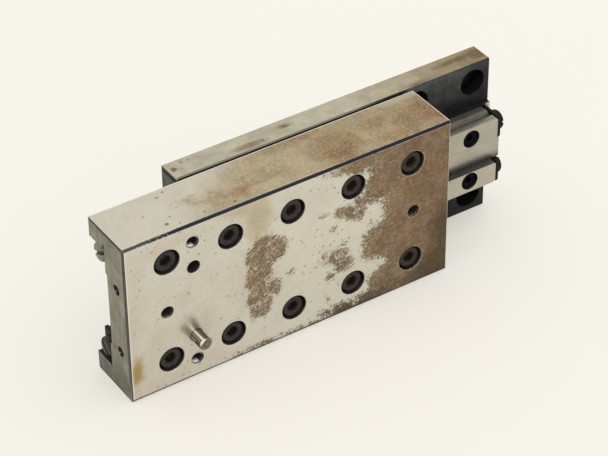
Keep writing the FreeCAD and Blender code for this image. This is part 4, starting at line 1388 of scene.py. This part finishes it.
class SLIDE_OT_preload(Making, bpy.types.Operator):
    """Set screws that press one rail towards the rollers"""

    bl_idname = "slide.preload"
    bl_label = "Preload screws"

    def make(self, sizes, colours):
        black = blackened_finish("black_set_screws", colours.black_oxide, colours.dull_steel)
        low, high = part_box("preload_screws")
        width = high.y - low.y
        form = set_screw_form(sizes, width, high.z - low.z, sizes.preload_key, PRELOAD_KEY_DEPTH)
        piece = screw_row(
            "preload_set_screws", form, low, high, width, ((low.y + high.y) / 2, high.z),
            axis=(0.0, 0.0, 1.0), seed=PRELOAD_SEED, material=black)
        carry(piece, "table", "black_screw", "preload_screws")


class SLIDE_OT_pin(Making, bpy.types.Operator):
    """Dowel pin in the working face"""

    bl_idname = "slide.pin"
    bl_label = "Dowel pin"

    def make(self, sizes, colours):
        low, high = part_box("dowel_pin")
        middle = (low + high) / 2
        radius, reach, tip = (high.x - low.x) / 2, high.y - low.y, sizes.pin_chamfer
        rings = [(radius - tip, 0.0), (radius - 0.1 * MM, tip * 0.85), (radius, tip)]
        rings += [(radius, reach - tip - 0.15 * MM), (radius - 0.06 * MM, reach - tip)]
        rings += [(radius - tip * 0.9, reach - 0.08 * MM), (radius - tip - 0.1 * MM, reach)]
        rings.append((radius * 0.4, reach))
        place = Matrix.Translation((middle.x, high.y, middle.z)) @ TURN_TO_FRONT
        pin = add_piece("bright_dowel_pin", turned_form(rings, PIN_SEGMENTS, place))
        pin.data.materials.append(pin_finish(colours, middle))
        shade(pin.data)
        carry(pin, "table", "pin_steel", "dowel_pin")


class SLIDE_OT_rolling_sets(Making, bpy.types.Operator):
    """Crossed rollers and their cages"""

    bl_idname = "slide.rolling_sets"
    bl_label = "Rolling sets"

    def make(self, sizes, colours):
        lapped = bright_finish("lapped_rollers", colours.roller_steel, colours.dirt, 2.0, 0.2)
        brass = bright_finish("cage_brass_strip", colours.brass, colours.dirt, 1.0, 0.34)
        radius, edge = ROLLER_DIAMETER / 2, sizes.roller_edge
        for row in ROWS:
            body = f"{row}_rolling_set"
            low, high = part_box(f"{row}_rollers_a")
            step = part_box(f"{row}_rollers_b")[0].x - low.x
            half = ((high.z - low.z) * math.sqrt(2) - ROLLER_DIAMETER) / 2
            rings = [(radius - edge, -half), (radius, edge - half)] + rounded(radius, half, edge, 3)
            middle = (low + high) / 2
            piece = grow(
                add_piece(f"{row}_crossed_rollers", turned_form(rings, ROLLER_SEGMENTS)),
                crossed_roller_tree, step=(step, 0.0, 0.0),
                start=(low.x + radius, middle.y, middle.z),
                count=round((high.x - low.x - ROLLER_DIAMETER) / step) + 2,
                tilt=math.radians(45), material=lapped)
            carry(piece, body, "roller_steel", f"{row}_rollers_a", f"{row}_rollers_b")
            cage = edged_copy(f"{row}_windowed_cage", [f"{row}_cage"], sizes.plate_edge, brass)
            carry(cage, body, "cage_brass", f"{row}_cage")


class SLIDE_OT_threads(Making, bpy.types.Operator):
    """Threads in the table's tapped holes"""

    bl_idname = "slide.threads"
    bl_label = "Tapped threads"

    def make(self, sizes, colours):
        dull = thread_finish(colours)
        cross, axis, ends = (MOUNTS[f"table_{kind}_taps"] for kind in ("cross", "axis", "end"))
        apart = cross["dims"]["spacing_y_mm"] * MM / 2
        beside = axis["dims"]["spacing_x_mm"] * MM / 2
        rise = ends["dims"]["spacing_y_mm"] * MM / 2
        face, left = TABLE_LOW.y + FACE_THREAD_INSET, TABLE_LOW.x + END_THREAD_INSET
        mouths = [(cross["pos_m"][0], face, side * apart) for side in (-1, 1)]
        mouths += [(axis["pos_m"][0] + side * beside, face, axis["pos_m"][2]) for side in (-1, 1)]
        sides = [(left, ends["pos_m"][1], ends["pos_m"][2] + side * rise) for side in (-1, 1)]
        for name, points, taps, depth, heading in (
                ("face_tap_threads", mouths, cross, FACE_THREAD_DEPTH, (math.radians(-90), 0, 0)),
                ("end_tap_threads", sides, ends, END_THREAD_DEPTH, (0, math.radians(90), 0))):
            form = bmesh.new()
            for point in points:
                form.verts.new(point)
            piece = grow(
                add_piece(name, form), thread_tree, pitch=sizes.thread_pitch,
                radius=taps["dims"]["hole_r_mm"] * MM + THREAD_CLEARANCE,
                rise=sizes.thread_rise, depth=depth, heading=heading, material=dull)
            carry(piece, "table", "table_steel")


class SLIDE_OT_stage(bpy.types.Operator):
    """Floor, light and camera"""

    bl_idname = "slide.stage"
    bl_label = "Stage"

    def execute(self, context):
        scene = context.scene
        stage = scene.slide_stage
        form = bmesh.new()
        bmesh.ops.create_circle(
            form, cap_ends=True, segments=FLOOR_SEGMENTS, radius=stage.floor_radius)
        bmesh.ops.translate(form, verts=form.verts, vec=(0.0, 0.0, CAD_BOX[0][2] - FLOOR_GAP))
        floor = add_piece("floor", form)
        floor.data.materials.append(floor_finish(stage))

        world = bpy.data.worlds.new("soft_room")
        scene.world = world
        world.use_nodes = True
        wiring = Wiring(world.node_tree)
        backdrop = world.node_tree.nodes["Background"]
        wiring.feed(backdrop.inputs["Color"], ROOM_COLOUR)
        wiring.feed(backdrop.inputs["Strength"], wiring.seen().fade(stage.ambient, 1.0))

        for kind, (width, place) in LAMPS.items():
            name = f"{kind}_lamp"
            light = bpy.data.lights.new(name, "AREA")
            light.energy = getattr(stage, f"{kind}_power")
            light.shape = "SQUARE"
            light.size = width
            lamp = bpy.data.objects.new(name, light)
            scene.collection.objects.link(lamp)
            lamp.location = place
            lamp.rotation_euler = (-Vector(place)).to_track_quat("-Z", "Y").to_euler()

        lens = bpy.data.cameras.new("view")
        lens.lens = stage.lens
        lens.sensor_width = SENSOR_WIDTH
        lens.clip_start = CLIP_START
        camera = bpy.data.objects.new("view", lens)
        scene.collection.objects.link(camera)
        camera.matrix_world = (
            Matrix.Translation(stage.camera_place)
            @ Matrix.Rotation(stage.azimuth, 4, "Z")
            @ Matrix.Rotation(math.pi / 2 - stage.elevation, 4, "X")
            @ Matrix.Rotation(stage.roll, 4, "Z"))
        scene.camera = camera
        scene.view_settings.view_transform = "Standard"
        return {"FINISHED"}


class SLIDE_PT_panel(bpy.types.Panel):
    """Lists the slide's pieces and settings"""

    bl_label = "Slide"
    bl_space_type = "VIEW_3D"
    bl_region_type = "UI"
    bl_category = "Slide"

    def draw(self, context):
        for operator in OPERATORS:
            self.layout.operator(operator.bl_idname)
        for setting in SETTINGS:
            group = getattr(context.scene, setting)
            box = self.layout.box()
            for name in group.__annotations__:
                box.prop(group, name)


OPERATORS = (
    SLIDE_OT_table, SLIDE_OT_base, SLIDE_OT_rails, SLIDE_OT_cap_screws, SLIDE_OT_stops,
    SLIDE_OT_preload, SLIDE_OT_pin, SLIDE_OT_rolling_sets, SLIDE_OT_threads, SLIDE_OT_stage,
)
SETTINGS = {"slide_sizes": SlideSizes, "slide_colours": SlideColours, "slide_stage": SlideStage}
CLASSES = (*SETTINGS.values(), *OPERATORS, SLIDE_PT_panel)


def register():
    for kind in CLASSES:
        bpy.utils.register_class(kind)
    for name, kind in SETTINGS.items():
        setattr(bpy.types.Scene, name, PointerProperty(type=kind))


def unregister():
    for name in SETTINGS:
        delattr(bpy.types.Scene, name)
    for kind in reversed(CLASSES):
        bpy.utils.unregister_class(kind)


def main():
    register()
    for operator in OPERATORS:
        group, name = operator.bl_idname.split(".")
        getattr(getattr(bpy.ops, group), name)()


if __name__ == "__main__":
    main()
